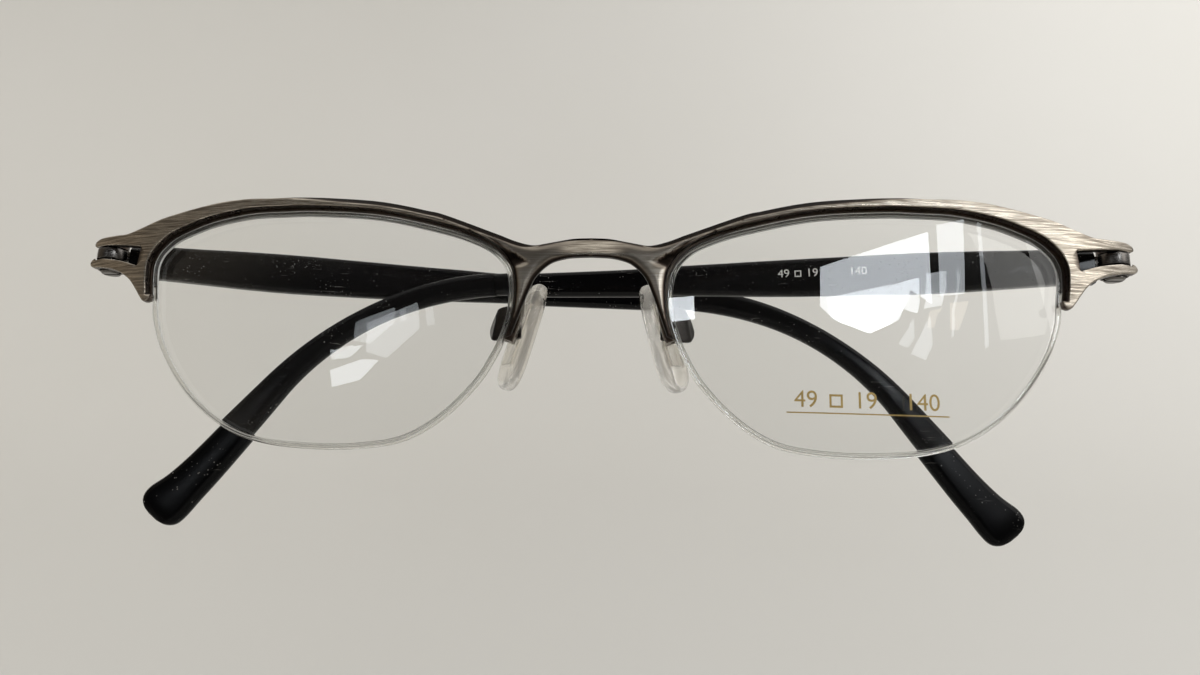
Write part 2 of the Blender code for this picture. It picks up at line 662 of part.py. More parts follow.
def make_pad(side, label, group, cutters, finishes):
    frame = pad_frame(side)
    axis_depth = -PAD_AXIS_DEPTH
    axis = bpy.data.objects.new(f"pad_axis_{label}", None)
    axis.matrix_world = frame @ Matrix.Translation((0, 0, axis_depth))
    group.objects.link(axis)
    lift = Matrix.Translation((0, 0, -axis_depth))

    half = PAD_WIDTH / 2
    shape = [
        (-1.0, 0.22, 0.35), (-0.94, 0.52, 0.7), (-0.8, 0.82, 0.92), (-0.55, 0.99, 1.0), (-0.2, 1.0, 1.0),
        (0.2, 0.9, 1.0), (0.55, 0.76, 0.97), (0.8, 0.6, 0.88), (0.94, 0.4, 0.68), (1.0, 0.18, 0.35),
    ]
    name = f"nose_pad_{label}"
    rings = [pad_ring(side, share, half * width, swell) for share, width, swell in shape]
    pad = add_object(name, loft(name, rings), group, finishes["pad"], axis)
    pad.data.transform(lift)
    back = -PAD_THICKNESS / 2
    long, wide = PAD_CORE_LENGTH / 2, PAD_CORE_WIDTH / 2
    floor = back + PAD_CORE_THICKNESS + SEAM
    low = (-long - SEAM, -wide - SEAM, 2 * back)
    pocket = block(f"pad_pocket_{label}", low, (long + SEAM, wide + SEAM, floor), cutters)
    boolean(pad, helper(pocket, frame), "DIFFERENCE")
    shaded(pad)

    name = f"pad_core_{label}"
    core = block(name, (-long, -wide, back), (long, wide, back + PAD_CORE_THICKNESS), group, finishes["core"])
    core.data.transform(lift)
    core.parent = axis
    thin = BOSS_THICKNESS / 2
    neck = block(
        f"boss_neck_{label}", (-BOSS_RADIUS, -thin, axis_depth), (BOSS_RADIUS, thin, back + 0.3 * MM), cutters
    )
    turn = frame @ Matrix.Translation((0, 0, axis_depth)) @ Matrix.Rotation(math.pi / 2, 4, "X")
    end = disc(f"boss_end_{label}", BOSS_RADIUS, -thin, thin, cutters)
    hole = disc(f"boss_hole_{label}", PAD_SCREW_RADIUS + HINGE_GAP, -2 * thin, 2 * thin, cutters, steps=16)
    boolean(core, helper(neck, frame), "UNION")
    boolean(core, helper(end, turn), "UNION")
    boolean(core, helper(hole, turn), "DIFFERENCE")
    shaded(core)

    inner = thin + SEAM
    outer = inner + BOX_WALL
    rim = back - BOX_RIM_GAP
    bed = axis_depth - BOSS_RADIUS - SEAM
    name = f"pad_box_{label}"
    section = [
        (-outer, rim), (-outer, bed - BOX_WALL), (outer, bed - BOX_WALL), (outer, rim), (inner, rim), (inner, bed),
        (-inner, bed), (-inner, rim),
    ]
    rings = [[Vector((x, y, z)) for y, z in section] for x in (-BOX_LENGTH / 2, BOX_LENGTH / 2)]
    box = add_object(name, loft(name, rings), group, finishes["rim"])
    box.matrix_world = frame
    hole = disc(f"box_hole_{label}", PAD_SCREW_RADIUS + HINGE_GAP, -2 * outer, 2 * outer, cutters, steps=16)
    boolean(box, helper(hole, turn), "DIFFERENCE")

    name = f"pad_screw_{label}"
    head = outer + HINGE_GAP
    profile = [
        (0, outer), (PAD_SCREW_RADIUS, outer), (PAD_SCREW_RADIUS, -head), (PAD_SCREW_HEAD, -head),
        (PAD_SCREW_HEAD, -head - 0.3 * MM), (0, -head - 0.3 * MM),
    ]
    screw = turned(name, profile, group, finishes["steel"], steps=16)
    screw.matrix_world = frame @ Matrix.Translation((0, 0, axis_depth)) @ Matrix.Rotation(-math.pi / 2, 4, "X")
    make_arm(side, label, group, finishes, bed - BOX_WALL - SEAM - ARM_THICKNESS / 2)


def make_arm(side, label, group, finishes, bed):
    """The strip from the back of the rim channel, round behind the lens, to the bed of the pad's box."""
    frame = pad_frame(1)
    stations = []
    for out, middle, height in ARM_SECTIONS:
        x = BRIDGE_WIDTH / 2 + out * MM
        y = sheet(x, 0) + CHANNEL_BACK + SEAM + ARM_THICKNESS / 2
        stations.append((x, y, middle * MM, height * MM))
    for along in (-1.2, 0.0, 1.0):
        x, y, z = frame @ Vector((0, along * MM, bed))
        stations.append((x, y, z, BOX_LENGTH * (1.25 - 0.12 * along)))
    places = smooth([Vector(station) for station in stations], 0.8 * MM)
    rings = []
    for i, (x, y, middle, height) in enumerate(places):
        after, before = places[min(i + 1, len(places) - 1)], places[max(i - 1, 0)]
        along = Vector((after[0] - before[0], after[1] - before[1])).normalized()
        across = Vector((-along.y, along.x)) * ARM_THICKNESS / 2
        ring = []
        for sign, rise in ((-1, -0.5), (-1, 0.5), (1, 0.5), (1, -0.5)):
            lean = -math.tan(PAD_LEAN) * rise * height * i / (len(places) - 1)
            ring.append(
                Vector((side * (x + across.x * sign + lean), y + across.y * sign, middle + rise * height))
            )
        rings.append(ring)
    name = f"pad_arm_{label}"
    shaded(add_object(name, loft(name, rings), group, finishes["rim"]))


def stand_on_origin(group):
    """Moves the whole so that the middle of its box's underside is the origin."""
    bpy.context.view_layer.update()
    graph = bpy.context.evaluated_depsgraph_get()
    corners = []
    for obj in group.objects:
        if obj.type == "EMPTY":
            continue
        evaluated = obj.evaluated_get(graph)
        mesh = evaluated.to_mesh()
        corners += [evaluated.matrix_world @ vert.co for vert in mesh.vertices]
        evaluated.to_mesh_clear()
    low = [min(corner[k] for corner in corners) for k in range(3)]
    high = [max(corner[k] for corner in corners) for k in range(3)]
    shift = Vector((-(low[0] + high[0]) / 2, -(low[1] + high[1]) / 2, -low[2]))
    for obj in bpy.data.objects:
        if obj.parent is None:
            obj.location += shift
    return shift


def main():
    clear_scene()
    group = collection("eyeglasses")
    cutters = collection("cutters")
    finishes = {
        "front": material("brushed bronze steel", (0.42, 0.38, 0.33), 0.35, 1.0),
        "rim": material("black plated wire", (0.03, 0.03, 0.03), 0.35, 1.0),
        "nylon": material("clear nylon", (0.8, 0.8, 0.78), 0.3, 0.0, 0.6),
        "lens": material("clear lens", (0.9, 0.92, 0.92), 0.03, 0.0, 0.25),
        "steel": material("dark steel", (0.2, 0.2, 0.2), 0.3, 1.0),
        "temple": material("black lacquered steel", (0.015, 0.015, 0.016), 0.15, 0.6),
        "tip": material("black acetate", (0.012, 0.012, 0.013), 0.12, 0.0),
        "pad": material("clear silicone", (0.75, 0.72, 0.66), 0.3, 0.0, 0.6),
        "core": material("pad core", (0.6, 0.58, 0.54), 0.4, 0.0),
    }
    make_front(group, cutters, finishes["front"])
    for side, label, fold in ((1, "left", FOLD_LEFT), (-1, "right", FOLD_RIGHT)):
        make_rim(side, label, group, finishes)
        make_lens(side, label, group, finishes["lens"])
        make_cord(side, label, group, finishes["nylon"])
        make_temple(side, label, fold, group, cutters, finishes)
        make_hinge_screw(side, label, group, cutters, finishes["steel"])
        make_pad(side, label, group, cutters, finishes)
    stand_on_origin(group)


main()
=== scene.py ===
import math

import bmesh
import bpy
import numpy as np
from mathutils import Matrix, Vector
from mathutils.geometry import delaunay_2d_cdt


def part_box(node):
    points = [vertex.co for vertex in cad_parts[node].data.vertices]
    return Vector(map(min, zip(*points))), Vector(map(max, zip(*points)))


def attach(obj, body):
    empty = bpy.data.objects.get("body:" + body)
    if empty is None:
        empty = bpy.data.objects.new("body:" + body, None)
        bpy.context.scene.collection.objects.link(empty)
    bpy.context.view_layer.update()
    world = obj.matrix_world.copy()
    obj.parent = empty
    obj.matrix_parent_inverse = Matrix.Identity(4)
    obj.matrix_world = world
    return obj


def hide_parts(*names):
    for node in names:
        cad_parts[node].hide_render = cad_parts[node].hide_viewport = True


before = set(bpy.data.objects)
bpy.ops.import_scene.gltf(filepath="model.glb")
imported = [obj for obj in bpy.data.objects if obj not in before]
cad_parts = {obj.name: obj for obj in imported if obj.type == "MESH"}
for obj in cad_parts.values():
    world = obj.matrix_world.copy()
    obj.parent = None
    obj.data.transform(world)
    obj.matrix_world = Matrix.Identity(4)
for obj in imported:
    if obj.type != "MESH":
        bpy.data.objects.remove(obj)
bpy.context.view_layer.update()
MM = 0.001

# Front: one stamped steel piece with the brow, the bridge, both legs and the forked endpieces.
# Its rounded face is brushed back to bare metal; a dark patina stays on the edges, in the hollows
# between brow and leg, and on the short turned lugs behind each fork, which hold the temple's hinge.
# Painted shade, near black, darkens the hollows and the edges of the slim bridge and legs, and the
# brow's top bevel is darkened too; thin bright lines of bare metal along the brow's ridge and lower
# edge are painted highlights.
lens_low, lens_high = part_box("lens_left")
LENS_WIDTH = lens_high.x - lens_low.x
LENS_HEIGHT = lens_high.z - lens_low.z
BRIDGE_WIDTH = 2 * lens_low.x
LENS_LEVEL = (lens_high.z + lens_low.z) / 2
BASE_CURVE = 329.0 * MM
ENDPIECE_WRAP = 30.0 * MM
PLATE_THICKNESS = 1.2 * MM
SEAM = 0.12 * MM
LENS_EDGE = 2.0 * MM
CHANNEL_FRONT = PLATE_THICKNESS + SEAM
CHANNEL_BACK = CHANNEL_FRONT + LENS_EDGE
RIM_REVEAL = 0.35 * MM
BROW_HEIGHT = 1.15 * MM
SHOULDER_HEIGHT = 1.97 * MM
BRIDGE_DROP = 4.6 * MM
BRIDGE_HEIGHT = 2.5 * MM
NASAL_DROP = 0.4118 * LENS_HEIGHT
SPUR_DROP = 6.6 * MM
HINGE_SETBACK = 2.1 * MM
HINGE_SLOT = 1.9 * MM
HINGE_GAP = 0.06 * MM
LUG_RADIUS = 1.8 * MM
LUG_HEIGHT = 1.15 * MM
KNUCKLE_RADIUS = 2.0 * MM
SCREW_RADIUS = 0.6 * MM
SCREW_HEAD_RADIUS = 1.3 * MM
SCREW_SEAT = 0.15 * MM
HINGE_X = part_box("hinge_screw_left")[0].x + SCREW_HEAD_RADIUS
HINGE_HEIGHT = LENS_HEIGHT / 2 - 4.35 * MM
BRIDGE_TOP = LENS_HEIGHT / 2 - BRIDGE_DROP

# The lens's outline, as shares of its width from the nasal side and of its height from the middle
LENS_SHAPE = [
    (0.0, 0.113), (0.0015, 0.17), (0.0095, 0.224), (0.0285, 0.2745), (0.061, 0.3215), (0.1143, 0.3635),
    (0.192, 0.405), (0.36, 0.469), (0.536, 0.4965), (0.63, 0.5), (0.728, 0.498), (0.83, 0.472),
    (0.902, 0.435), (0.947, 0.402), (0.9735, 0.366), (0.99, 0.332), (1.0, 0.281), (0.998, 0.217),
    (0.991, 0.15), (0.981, 0.045), (0.938, -0.108), (0.8535, -0.282), (0.748, -0.41), (0.632, -0.4765),
    (0.477, -0.5), (0.345, -0.492), (0.25, -0.459), (0.161, -0.3715), (0.0815, -0.241), (0.039, -0.1275),
    (0.0155, -0.035), (0.004, 0.037),
]
# The bridge's upper edge: shares of half the bridge's width, millimetres below its top
BRIDGE_EDGE = [
    (0.0, 0.0), (0.22, 0.08), (0.42, 0.4), (0.61, 0.78), (0.76, 0.95), (0.96, 0.5), (1.25, -0.55),
]
# The arch under the bridge and down the leg: shares of half the bridge and of the drop to its end
ARCH = [
    (0.0, 0.0), (0.268, 0.014), (0.458, 0.058), (0.558, 0.112), (0.653, 0.196), (0.726, 0.295),
    (0.8, 0.465), (0.863, 0.635), (0.932, 0.825), (0.99, 0.98),
]
# The fork, in millimetres from the hinge's axis and from the middle of its slot
FORK_TOP = [
    (-9.6, 4.07), (-8.0, 3.55), (-6.2, 2.85), (-3.8, 2.15), (-2.0, 2.15), (0.6, 2.2), (1.7, 2.05),
    (2.45, 1.6), (2.1, 1.08), (0.0, 0.95), (-1.8, 0.75), (-6.3, 0.1),
]
FORK_LOW = [
    (-6.05, -2.55), (-3.3, -1.65), (-0.2, -0.95), (1.6, -0.62), (2.5, -0.8), (2.75, -1.35), (2.2, -1.85),
    (1.0, -2.05), (-0.2, -2.3), (-1.9, -2.7), (-3.6, -3.4), (-5.2, -4.45), (-6.4, -5.8), (-7.2, -6.85),
    (-7.9, -7.55), (-8.6, -7.4), (-8.85, -6.6),
]
# Where the brow runs along the lens and broadens into its shoulder, as shares of the lens's width
BROW_START = 0.14
BROW_END = 0.9
SHOULDER_START = 0.68
SHOULDER_LENGTH = 0.22
BROW_LEVEL = 0.33 * LENS_HEIGHT
BROW_STEP = 1.5 * MM
FACE_STEP = 0.3 * MM
FACE_INSETS = [share * MM for share in (0.04, 0.1, 0.18, 0.28, 0.4, 0.53, 0.66, 0.82, 1.0)]
GRID_STEP = 0.25 * MM
SOFT_EDGE = 0.16 * MM
ROUND_EDGE = 1.15 * MM
ROUND_DROP = 0.62 * MM
BROW_BEVEL = 0.74 * MM
BROW_BEVEL_DROP = 0.45 * MM
RIDGE_WIDTH = 0.09 * MM
BRIDGE_TILT = 0.72 * MM
HOLLOW_TIP = Vector((7.0, 7.35)) * MM
HOLLOW_BROW = Vector((13.3, 10.9)) * MM
HOLLOW_LEG = Vector((9.55, 6.3)) * MM
HOLLOW_DEPTH = 0.72 * MM
HOLLOW_WALL = 0.4 * MM
HOLLOW_FLOOR = 1.5 * MM
THINNEST = 0.22 * MM
TOP_TRIM = 0.035 * MM
BACK_DROP = 0.3 * MM
BACK_WEAR = 0.12
EDGE_MARGIN = 0.55 * MM
BRIDGE_MARGIN = 0.25 * MM
BRIDGE_SHARPER = 0.45
LUG_EASE = 0.12 * MM
THREAD_SHARE = 0.75
# Stretches from the middle outwards over which the face's relief and wear change
BROADENS = (9.5 * MM, 13.5 * MM)
BRIDGE_FACE = (1.8 * MM, 5.8 * MM)
BEVEL_STARTS = (5.0 * MM, 9 * MM)
BEVEL_ENDS = (29 * MM, 45 * MM)
OPEN_BROW = (19 * MM, 36 * MM)
NEAR_BROW = (30 * MM, 42 * MM)
JUNCTION = (11 * MM, 14 * MM)
LOW_LINE = (11 * MM, 13 * MM)
POLISHED = (12 * MM, 30 * MM)
LEG_LEVELS = (8.2 * MM, 6.0 * MM)
# Depths and widths over which the face turns from patina to bare metal, to painted highlight
# lines and to near black, and the shares of each
WORN_EDGE = (0.02 * MM, 0.12 * MM)
SUNK_DEPTHS = (0.1 * MM, 0.4 * MM)
DARKENED_BEVEL = (0.02 * MM, 0.14 * MM)
RIDGE_BEVEL = (0.1 * MM, 0.3 * MM)
LINE_PLACE = 0.13 * MM
LINE_WIDTH = 0.07 * MM
LINE_ROOM = 0.5 * MM
JUNCTION_BARE = 0.45
LEG_BARE = 0.35
LEAST_BARE = 0.18
MORE_BARE = 0.82
# Painted highlight lines, then painted shade along slim edges and the darkening of the brow's bevel
RIDGE_HIGHLIGHT = 0.95
LOW_HIGHLIGHT = 0.7
EDGE_SHADE = 0.8
BEVEL_DARKENING = 0.85
# How far the net's inner points keep from its outline, as shares, and from the middle
RING_ROOM = 0.93
GRID_ROOM = 1.2
MIDDLE_ROOM = 0.2 * MM
MIDDLE_STEPS = 8
HALVINGS = 24
# Colours, as red, green, blue and opacity
PATINA_DEEP = (0.042, 0.031, 0.026, 1)
PATINA_PALE = (0.1, 0.077, 0.064, 1)
# Near black: painted shade in the front's hollows and along its slim edges, and the darkening of the
# brow's top bevel
NEAR_BLACK = (0.012, 0.009, 0.007, 1)
METAL_DEEP = (0.33, 0.287, 0.23, 1)
METAL_PALE = (0.72, 0.655, 0.56, 1)


def smooth(points, step, closed=False):
    """Points about a step apart on a Catmull-Rom curve through the given ones."""
    points = [Vector(p) for p in points]
    count = len(points)
    made = []
    for i in range(count if closed else count - 1):
        if closed:
            p0, p1, p2, p3 = (points[(i + k) % count] for k in (-1, 0, 1, 2))
        else:
            p1, p2 = points[i], points[i + 1]
            p0 = points[i - 1] if i else p1 * 2 - p2
            p3 = points[i + 2] if i + 2 < count else p2 * 2 - p1
        pieces = max(1, round((p2 - p1).length / step))
        for j in range(pieces):
            t = j / pieces
            bend = (2 * p0 - 5 * p1 + 4 * p2 - p3) * t * t + (3 * p1 - p0 - 3 * p2 + p3) * t ** 3
            made.append(0.5 * (2 * p1 + (p2 - p0) * t + bend))
    if not closed:
        made.append(points[-1])
    return made


def sheet(x, z):
    """How far the front's surface lies behind the bridge: a sphere that wraps more at its ends."""
    past_lens = max(0.0, abs(x) - (BRIDGE_WIDTH / 2 + LENS_WIDTH))
    return (x * x + z * z) / (2 * BASE_CURVE) + past_lens ** 2 / (2 * ENDPIECE_WRAP)


def edge_stations(step):
    """(point, outward normal) pairs round the lens from its nasal side, clockwise as seen in front."""
    corners = [(BRIDGE_WIDTH / 2 + u * LENS_WIDTH, v * LENS_HEIGHT) for u, v in LENS_SHAPE]
    outline = smooth(corners, step, closed=True)
    stations = []
    for i, point in enumerate(outline):
        along = (outline[(i + 1) % len(outline)] - outline[i - 1]).normalized()
        stations.append((point, Vector((-along.y, along.x))))
    return stations


FACE_Y = lens_low.y - CHANNEL_FRONT - min(sheet(*point) for point, _ in edge_stations(2.0 * MM))


def placed(x, depth, z):
    """A place at a depth behind the front's surface; z is measured from the middle of the lenses."""
    return Vector((x, FACE_Y + sheet(x, z) + depth, LENS_LEVEL + z))


def last_wanted(inner, outer, wanted):
    """The last place that passes the test on the way from one station to the next."""
    low, high = 0.0, 1.0
    for _ in range(HALVINGS):
        share = (low + high) / 2
        if wanted(inner[0].lerp(outer[0], share)):
            low = share
        else:
            high = share
    return inner[0].lerp(outer[0], low), inner[1].lerp(outer[1], low).normalized()


def run_of(stations, wanted):
    """The unbroken run of stations that pass the test, with its ends where the test flips."""
    count = len(stations)
    first = next(i for i in range(count) if wanted(stations[i][0]) and not wanted(stations[i - 1][0]))
    run = []
    while wanted(stations[(first + len(run)) % count][0]):
        run.append(stations[(first + len(run)) % count])
    start = last_wanted(run[0], stations[first - 1], wanted)
    end = last_wanted(run[-1], stations[(first + len(run)) % count], wanted)
    near = 0.4 * (run[1][0] - run[0][0]).length
    inner = [one for one in run if min((one[0] - start[0]).length, (one[0] - end[0]).length) > near]
    return [start] + inner + [end]


def in_rim(point, trim=0.0):
    if point.x > (BRIDGE_WIDTH + LENS_WIDTH) / 2:
        return point.y > HINGE_HEIGHT - SPUR_DROP + trim
    return point.y > BRIDGE_TOP - NASAL_DROP + trim


def front_edges():
    """The left half's outline, clockwise from the bridge's middle, and its stretch along the top."""
    half = BRIDGE_WIDTH / 2
    top = [Vector((half * u, BRIDGE_TOP - drop * MM)) for u, drop in BRIDGE_EDGE]
    for point, normal in run_of(edge_stations(BROW_STEP), in_rim)[::2]:
        share = (point.x - half) / LENS_WIDTH if point.y > BROW_LEVEL else 0.0
        if BROW_START < share < BROW_END:
            rise = max(0.0, (share - SHOULDER_START) / SHOULDER_LENGTH)
            height = RIM_REVEAL + BROW_HEIGHT + (SHOULDER_HEIGHT - BROW_HEIGHT) * rise
            top.append(point + normal * height)
    top += [Vector((HINGE_X + x * MM, HINGE_HEIGHT + z * MM)) for x, z in FORK_TOP]
    low = [Vector((HINGE_X + x * MM, HINGE_HEIGHT + z * MM)) for x, z in FORK_LOW]
    under = BRIDGE_TOP - BRIDGE_HEIGHT
    drop = under - (BRIDGE_TOP - NASAL_DROP)
    arch = [Vector((half * u, under - drop * share)) for u, share in ARCH]
    rim = run_of(edge_stations(FACE_STEP), in_rim)
    upper = [Vector((point.x, point.y - TOP_TRIM)) for point in smooth(top, FACE_STEP)]
    outline = upper + smooth(low, FACE_STEP)
    outline += [point + normal * RIM_REVEAL for point, normal in reversed(rim)]
    outline += smooth(arch[::-1], FACE_STEP)
    shoulder = half + BROW_END * LENS_WIDTH
    return outline, [point for point in upper if point.x < shoulder and point.y > BRIDGE_TOP - 2 * MM]


def distances(points, line):
    """Each point's distance to the nearest stretch of the line."""
    nearest = np.full(len(points), np.inf)
    for start, end in zip(line, line[1:]):
        along = end - start
        share = np.clip((points - start) @ along / (along @ along), 0, 1)
        off = points - start - share[:, None] * along
        nearest = np.minimum(nearest, np.hypot(off[:, 0], off[:, 1]))
    return nearest


def ease(low, high, value):
    share = np.clip((value - low) / (high - low), 0, 1)
    return share * share * (3 - 2 * share)


def rounding(distance, reach, drop):
    """How far a rounded edge falls away at a distance from the outline."""
    share = 1 - np.clip(distance / reach, 0, 1)
    return drop * (1 - np.sqrt(np.clip(1 - share * share, 0, 1)))


def beside(points, start, end):
    """Distance to the right of the line from start to end."""
    along = (end - start).normalized()
    return (points[:, 0] - start.x) * along.y - (points[:, 1] - start.y) * along.x


def face_relief(points, from_edge, from_top):
    """The face's depth below its surface, share of metal with painted highlight and shade, and polish.
    """
    x, z = points[:, 0], points[:, 1]
    slim = 1 - ease(*BROADENS, x)
    bridge = 1 - ease(*BRIDGE_FACE, x)
    sharper = 1 - BRIDGE_SHARPER * bridge
    rounded = rounding(from_edge, ROUND_EDGE * sharper, ROUND_DROP * sharper) * slim
    crisp = rounding(from_edge, SOFT_EDGE, SOFT_EDGE) * (1 - slim)
    bevel_width = BROW_BEVEL * (1 - ease(*BEVEL_ENDS, x)) * ease(*BEVEL_STARTS, x)
    bevel = BROW_BEVEL_DROP * np.clip(bevel_width - from_top, 0, None) / BROW_BEVEL
    below_brow = beside(points, HOLLOW_TIP, HOLLOW_BROW)
    above_leg = -beside(points, HOLLOW_TIP, HOLLOW_LEG)
    ramp = np.clip(above_leg / HOLLOW_FLOOR, 0, 1)
    hollow = HOLLOW_DEPTH * ease(0, HOLLOW_WALL, below_brow) * ramp * (x < HOLLOW_BROW.x + 2 * MM)
    rise = np.clip((z - BRIDGE_TOP + BRIDGE_HEIGHT) / BRIDGE_HEIGHT, 0, 1.2)
    tilt = BRIDGE_TILT * bridge * rise
    edge = rounded + crisp
    depth = np.maximum(np.hypot(edge, hollow), bevel) + tilt
    # On the slim bridge and legs bare metal keeps to a middle strip, with patina towards the edges; with
    # the painted shade along those edges, this paints in a rounded bar's lit middle
    margin = EDGE_MARGIN - BRIDGE_MARGIN * bridge
    strip = ease(0.4 * margin, margin, from_edge)
    worn = slim * strip + (1 - slim) * (1 - ease(*WORN_EDGE, edge))
    sunk = ease(*SUNK_DEPTHS, hollow)
    open_brow = ease(*OPEN_BROW, x)
    junction = (1 - ease(*JUNCTION, x)) * (JUNCTION_BARE + LEG_BARE * ease(*LEG_LEVELS, z))
    near_brow = 1 - ease(*NEAR_BROW, x)
    # Thin lines of bare metal along the brow's ridge and its lower edge: painted highlights, where a
    # rounded edge would catch the light
    ridge_highlight = np.exp(-((from_top - bevel_width) / RIDGE_WIDTH) ** 2) * ease(*RIDGE_BEVEL, bevel_width)
    low_highlight = np.exp(-((from_edge - LINE_PLACE) / LINE_WIDTH) ** 2)
    low_highlight = low_highlight * (from_top > from_edge + LINE_ROOM)
    low_highlight = low_highlight * near_brow * ease(*LOW_LINE, x)
    open_face = np.maximum(np.maximum(open_brow, bridge), junction)
    bare_and_painted_light = worn * (LEAST_BARE + MORE_BARE * open_face) * (1 - sunk)
    bare_and_painted_light = bare_and_painted_light * (1 - ease(*WORN_EDGE, bevel))
    highlight_lines = np.maximum(RIDGE_HIGHLIGHT * ridge_highlight * near_brow, LOW_HIGHLIGHT * low_highlight)
    bare_and_painted_light = np.maximum(bare_and_painted_light, highlight_lines * (1 - sunk))
    # Painted shade: near black in the hollows and along the edges of the slim bridge and legs; the
    # brow's top bevel is darkened too. It goes out as a share of metal below zero
    dirt_and_shade = np.maximum(sunk, EDGE_SHADE * slim * (1 - ease(0.1 * MM, 0.9 * margin, from_edge)))
    dirt_and_shade = np.maximum(dirt_and_shade, BEVEL_DARKENING * near_brow * ease(*DARKENED_BEVEL, bevel))
    polish = (1 - ease(*POLISHED, x)) * (1 - bridge)
    return depth, bare_and_painted_light - dirt_and_shade * (1 - np.clip(2 * bare_and_painted_light, 0, 1)), polish


def face_net():
    """The left half's face as a net: its places and triangles, its outline and the outline's top."""
    outline, top = front_edges()
    edge = np.array([tuple(point) for point in outline])
    top = np.array([tuple(point) for point in top])
    along = np.roll(edge, -1, axis=0) - np.roll(edge, 1, axis=0)
    along[0], along[-1] = edge[1] - edge[0], edge[-1] - edge[-2]
    inward = np.stack([along[:, 1], -along[:, 0]], axis=1)
    inward = inward / np.hypot(along[:, 0], along[:, 1])[:, None]
    rows = [edge + inward * amount for amount in FACE_INSETS]
    needed = [np.full(len(edge), RING_ROOM * amount) for amount in FACE_INSETS]
    low, high = edge.min(0), edge.max(0)
    for i in range(int((high[1] - low[1]) / GRID_STEP)):
        across = np.arange(low[0] + (i % 2) * GRID_STEP / 2, high[0], GRID_STEP)
        rows.append(np.stack([across, np.full(len(across), low[1] + i * GRID_STEP)], axis=1))
        needed.append(np.full(len(across), GRID_ROOM * FACE_INSETS[-1]))
    inner = np.concatenate(rows)
    middle_step = (edge[0, 1] - edge[-1, 1]) / MIDDLE_STEPS
    middle = np.array([(0.0, edge[-1, 1] + middle_step * i) for i in range(1, MIDDLE_STEPS)])
    kept = (distances(inner, edge) >= np.concatenate(needed)) & (inner[:, 0] > MIDDLE_ROOM)
    flat = np.concatenate([edge, middle, inner[kept]])
    border = list(range(len(edge) + len(middle)))
    places, _, triangles, _, _, _ = delaunay_2d_cdt([Vector(p) for p in flat], [], [border], 1, 1e-9)
    return np.array([tuple(p) for p in places]), triangles, edge, top


def front_half():
    """The left half of the front, as a bmesh that is open where it meets the right half."""
    places, triangles, edge, top = face_net()
    from_edge = distances(places, edge)
    from_top = distances(places, top)
    depth, bare_and_painted_light, polish = face_relief(places, from_edge, from_top)
    slim = 1 - ease(*BROADENS, places[:, 0])
    back_rounding = rounding(from_edge, ROUND_EDGE, BACK_DROP) * slim
    back_rounding += rounding(from_edge, SOFT_EDGE, SOFT_EDGE) * (1 - slim)
    depth = np.minimum(depth, PLATE_THICKNESS - back_rounding - THINNEST)
    shape = bmesh.new()
    # This attribute carries the share of metal showing through the patina, the painted highlight lines
    # and, below zero, the painted shade
    bare_and_light_layer = shape.verts.layers.float.new("bare_and_painted_light")
    polish_layer = shape.verts.layers.float.new("polish")
    fronts, backs = [], []
    for (x, z), sunk, share, shine, eased in zip(places, depth, bare_and_painted_light, polish, back_rounding):
        for layer, level, value in ((fronts, sunk, share), (backs, PLATE_THICKNESS - eased, BACK_WEAR)):
            vert = shape.verts.new(placed(x, level, z))
            vert[bare_and_light_layer] = value
            vert[polish_layer] = shine
            layer.append(vert)
    open_edges = {}
    for corners in triangles:
        shape.faces.new([fronts[k] for k in corners])
        shape.faces.new([backs[k] for k in reversed(corners)])
        for a, b in zip(corners, corners[1:] + corners[:1]):
            open_edges[(a, b)] = True
    for a, b in open_edges:
        if (b, a) not in open_edges and max(places[a][0], places[b][0]) > 1e-7:
            shape.faces.new((fronts[b], fronts[a], backs[a], backs[b]))
    bmesh.ops.recalc_face_normals(shape, faces=shape.faces)
    return shape


def in_scene(name, data):
    made = bpy.data.objects.new(name, data)
    bpy.context.scene.collection.objects.link(made)
    return made


def mesh_object(name, shape):
    """An object in the scene that holds the bmesh."""
    mesh = bpy.data.meshes.new(name)
    shape.to_mesh(mesh)
    shape.free()
    return in_scene(name, mesh)


def turned(name, profile, place, steps=64):
    """A turned shape about an upright axis, from (radius, height) pairs that run down its outside."""
    shape = bmesh.new()
    rings = []
    for radius, height in profile:
        if radius == 0:
            rings.append([shape.verts.new(place @ Vector((0, 0, height)))] * steps)
            continue
        turns = [2 * math.pi * i / steps for i in range(steps)]
        ring = [(radius * math.cos(turn), radius * math.sin(turn), height) for turn in turns]
        rings.append([shape.verts.new(place @ Vector(p)) for p in ring])
    for upper, lower in zip(rings, rings[1:]):
        for i in range(steps):
            corners = [upper[i], lower[i], lower[i - 1], upper[i - 1]]
            corners = [vert for k, vert in enumerate(corners) if vert not in corners[:k]]
            if len(corners) > 2:
                shape.faces.new(corners)
    bmesh.ops.recalc_face_normals(shape, faces=shape.faces)
    return mesh_object(name, shape)


def applied(obj):
    """Puts the object's modifiers into its mesh."""
    graph = bpy.context.evaluated_depsgraph_get()
    mesh = bpy.data.meshes.new_from_object(obj.evaluated_get(graph))
    obj.modifiers.clear()
    obj.data = mesh
    return mesh


def bake_down(obj, angle=35.0):
    """Applies the object's modifiers, and shades it smooth with its creases kept."""
    mesh = applied(obj)
    shape = bmesh.new()
    shape.from_mesh(mesh)
    bmesh.ops.remove_doubles(shape, verts=shape.verts, dist=2e-7)
    bmesh.ops.dissolve_degenerate(shape, edges=shape.edges, dist=2e-7)
    shape.to_mesh(mesh)
    shape.free()
    mesh.shade_smooth()
    mesh.set_sharp_from_angle(angle=math.radians(angle))
    return obj


def boolean(obj, other, operation):
    change = obj.modifiers.new(operation.lower(), "BOOLEAN")
    change.operation = operation
    change.object = other
    change.solver = "EXACT"
    applied(obj)
    bpy.data.objects.remove(other)


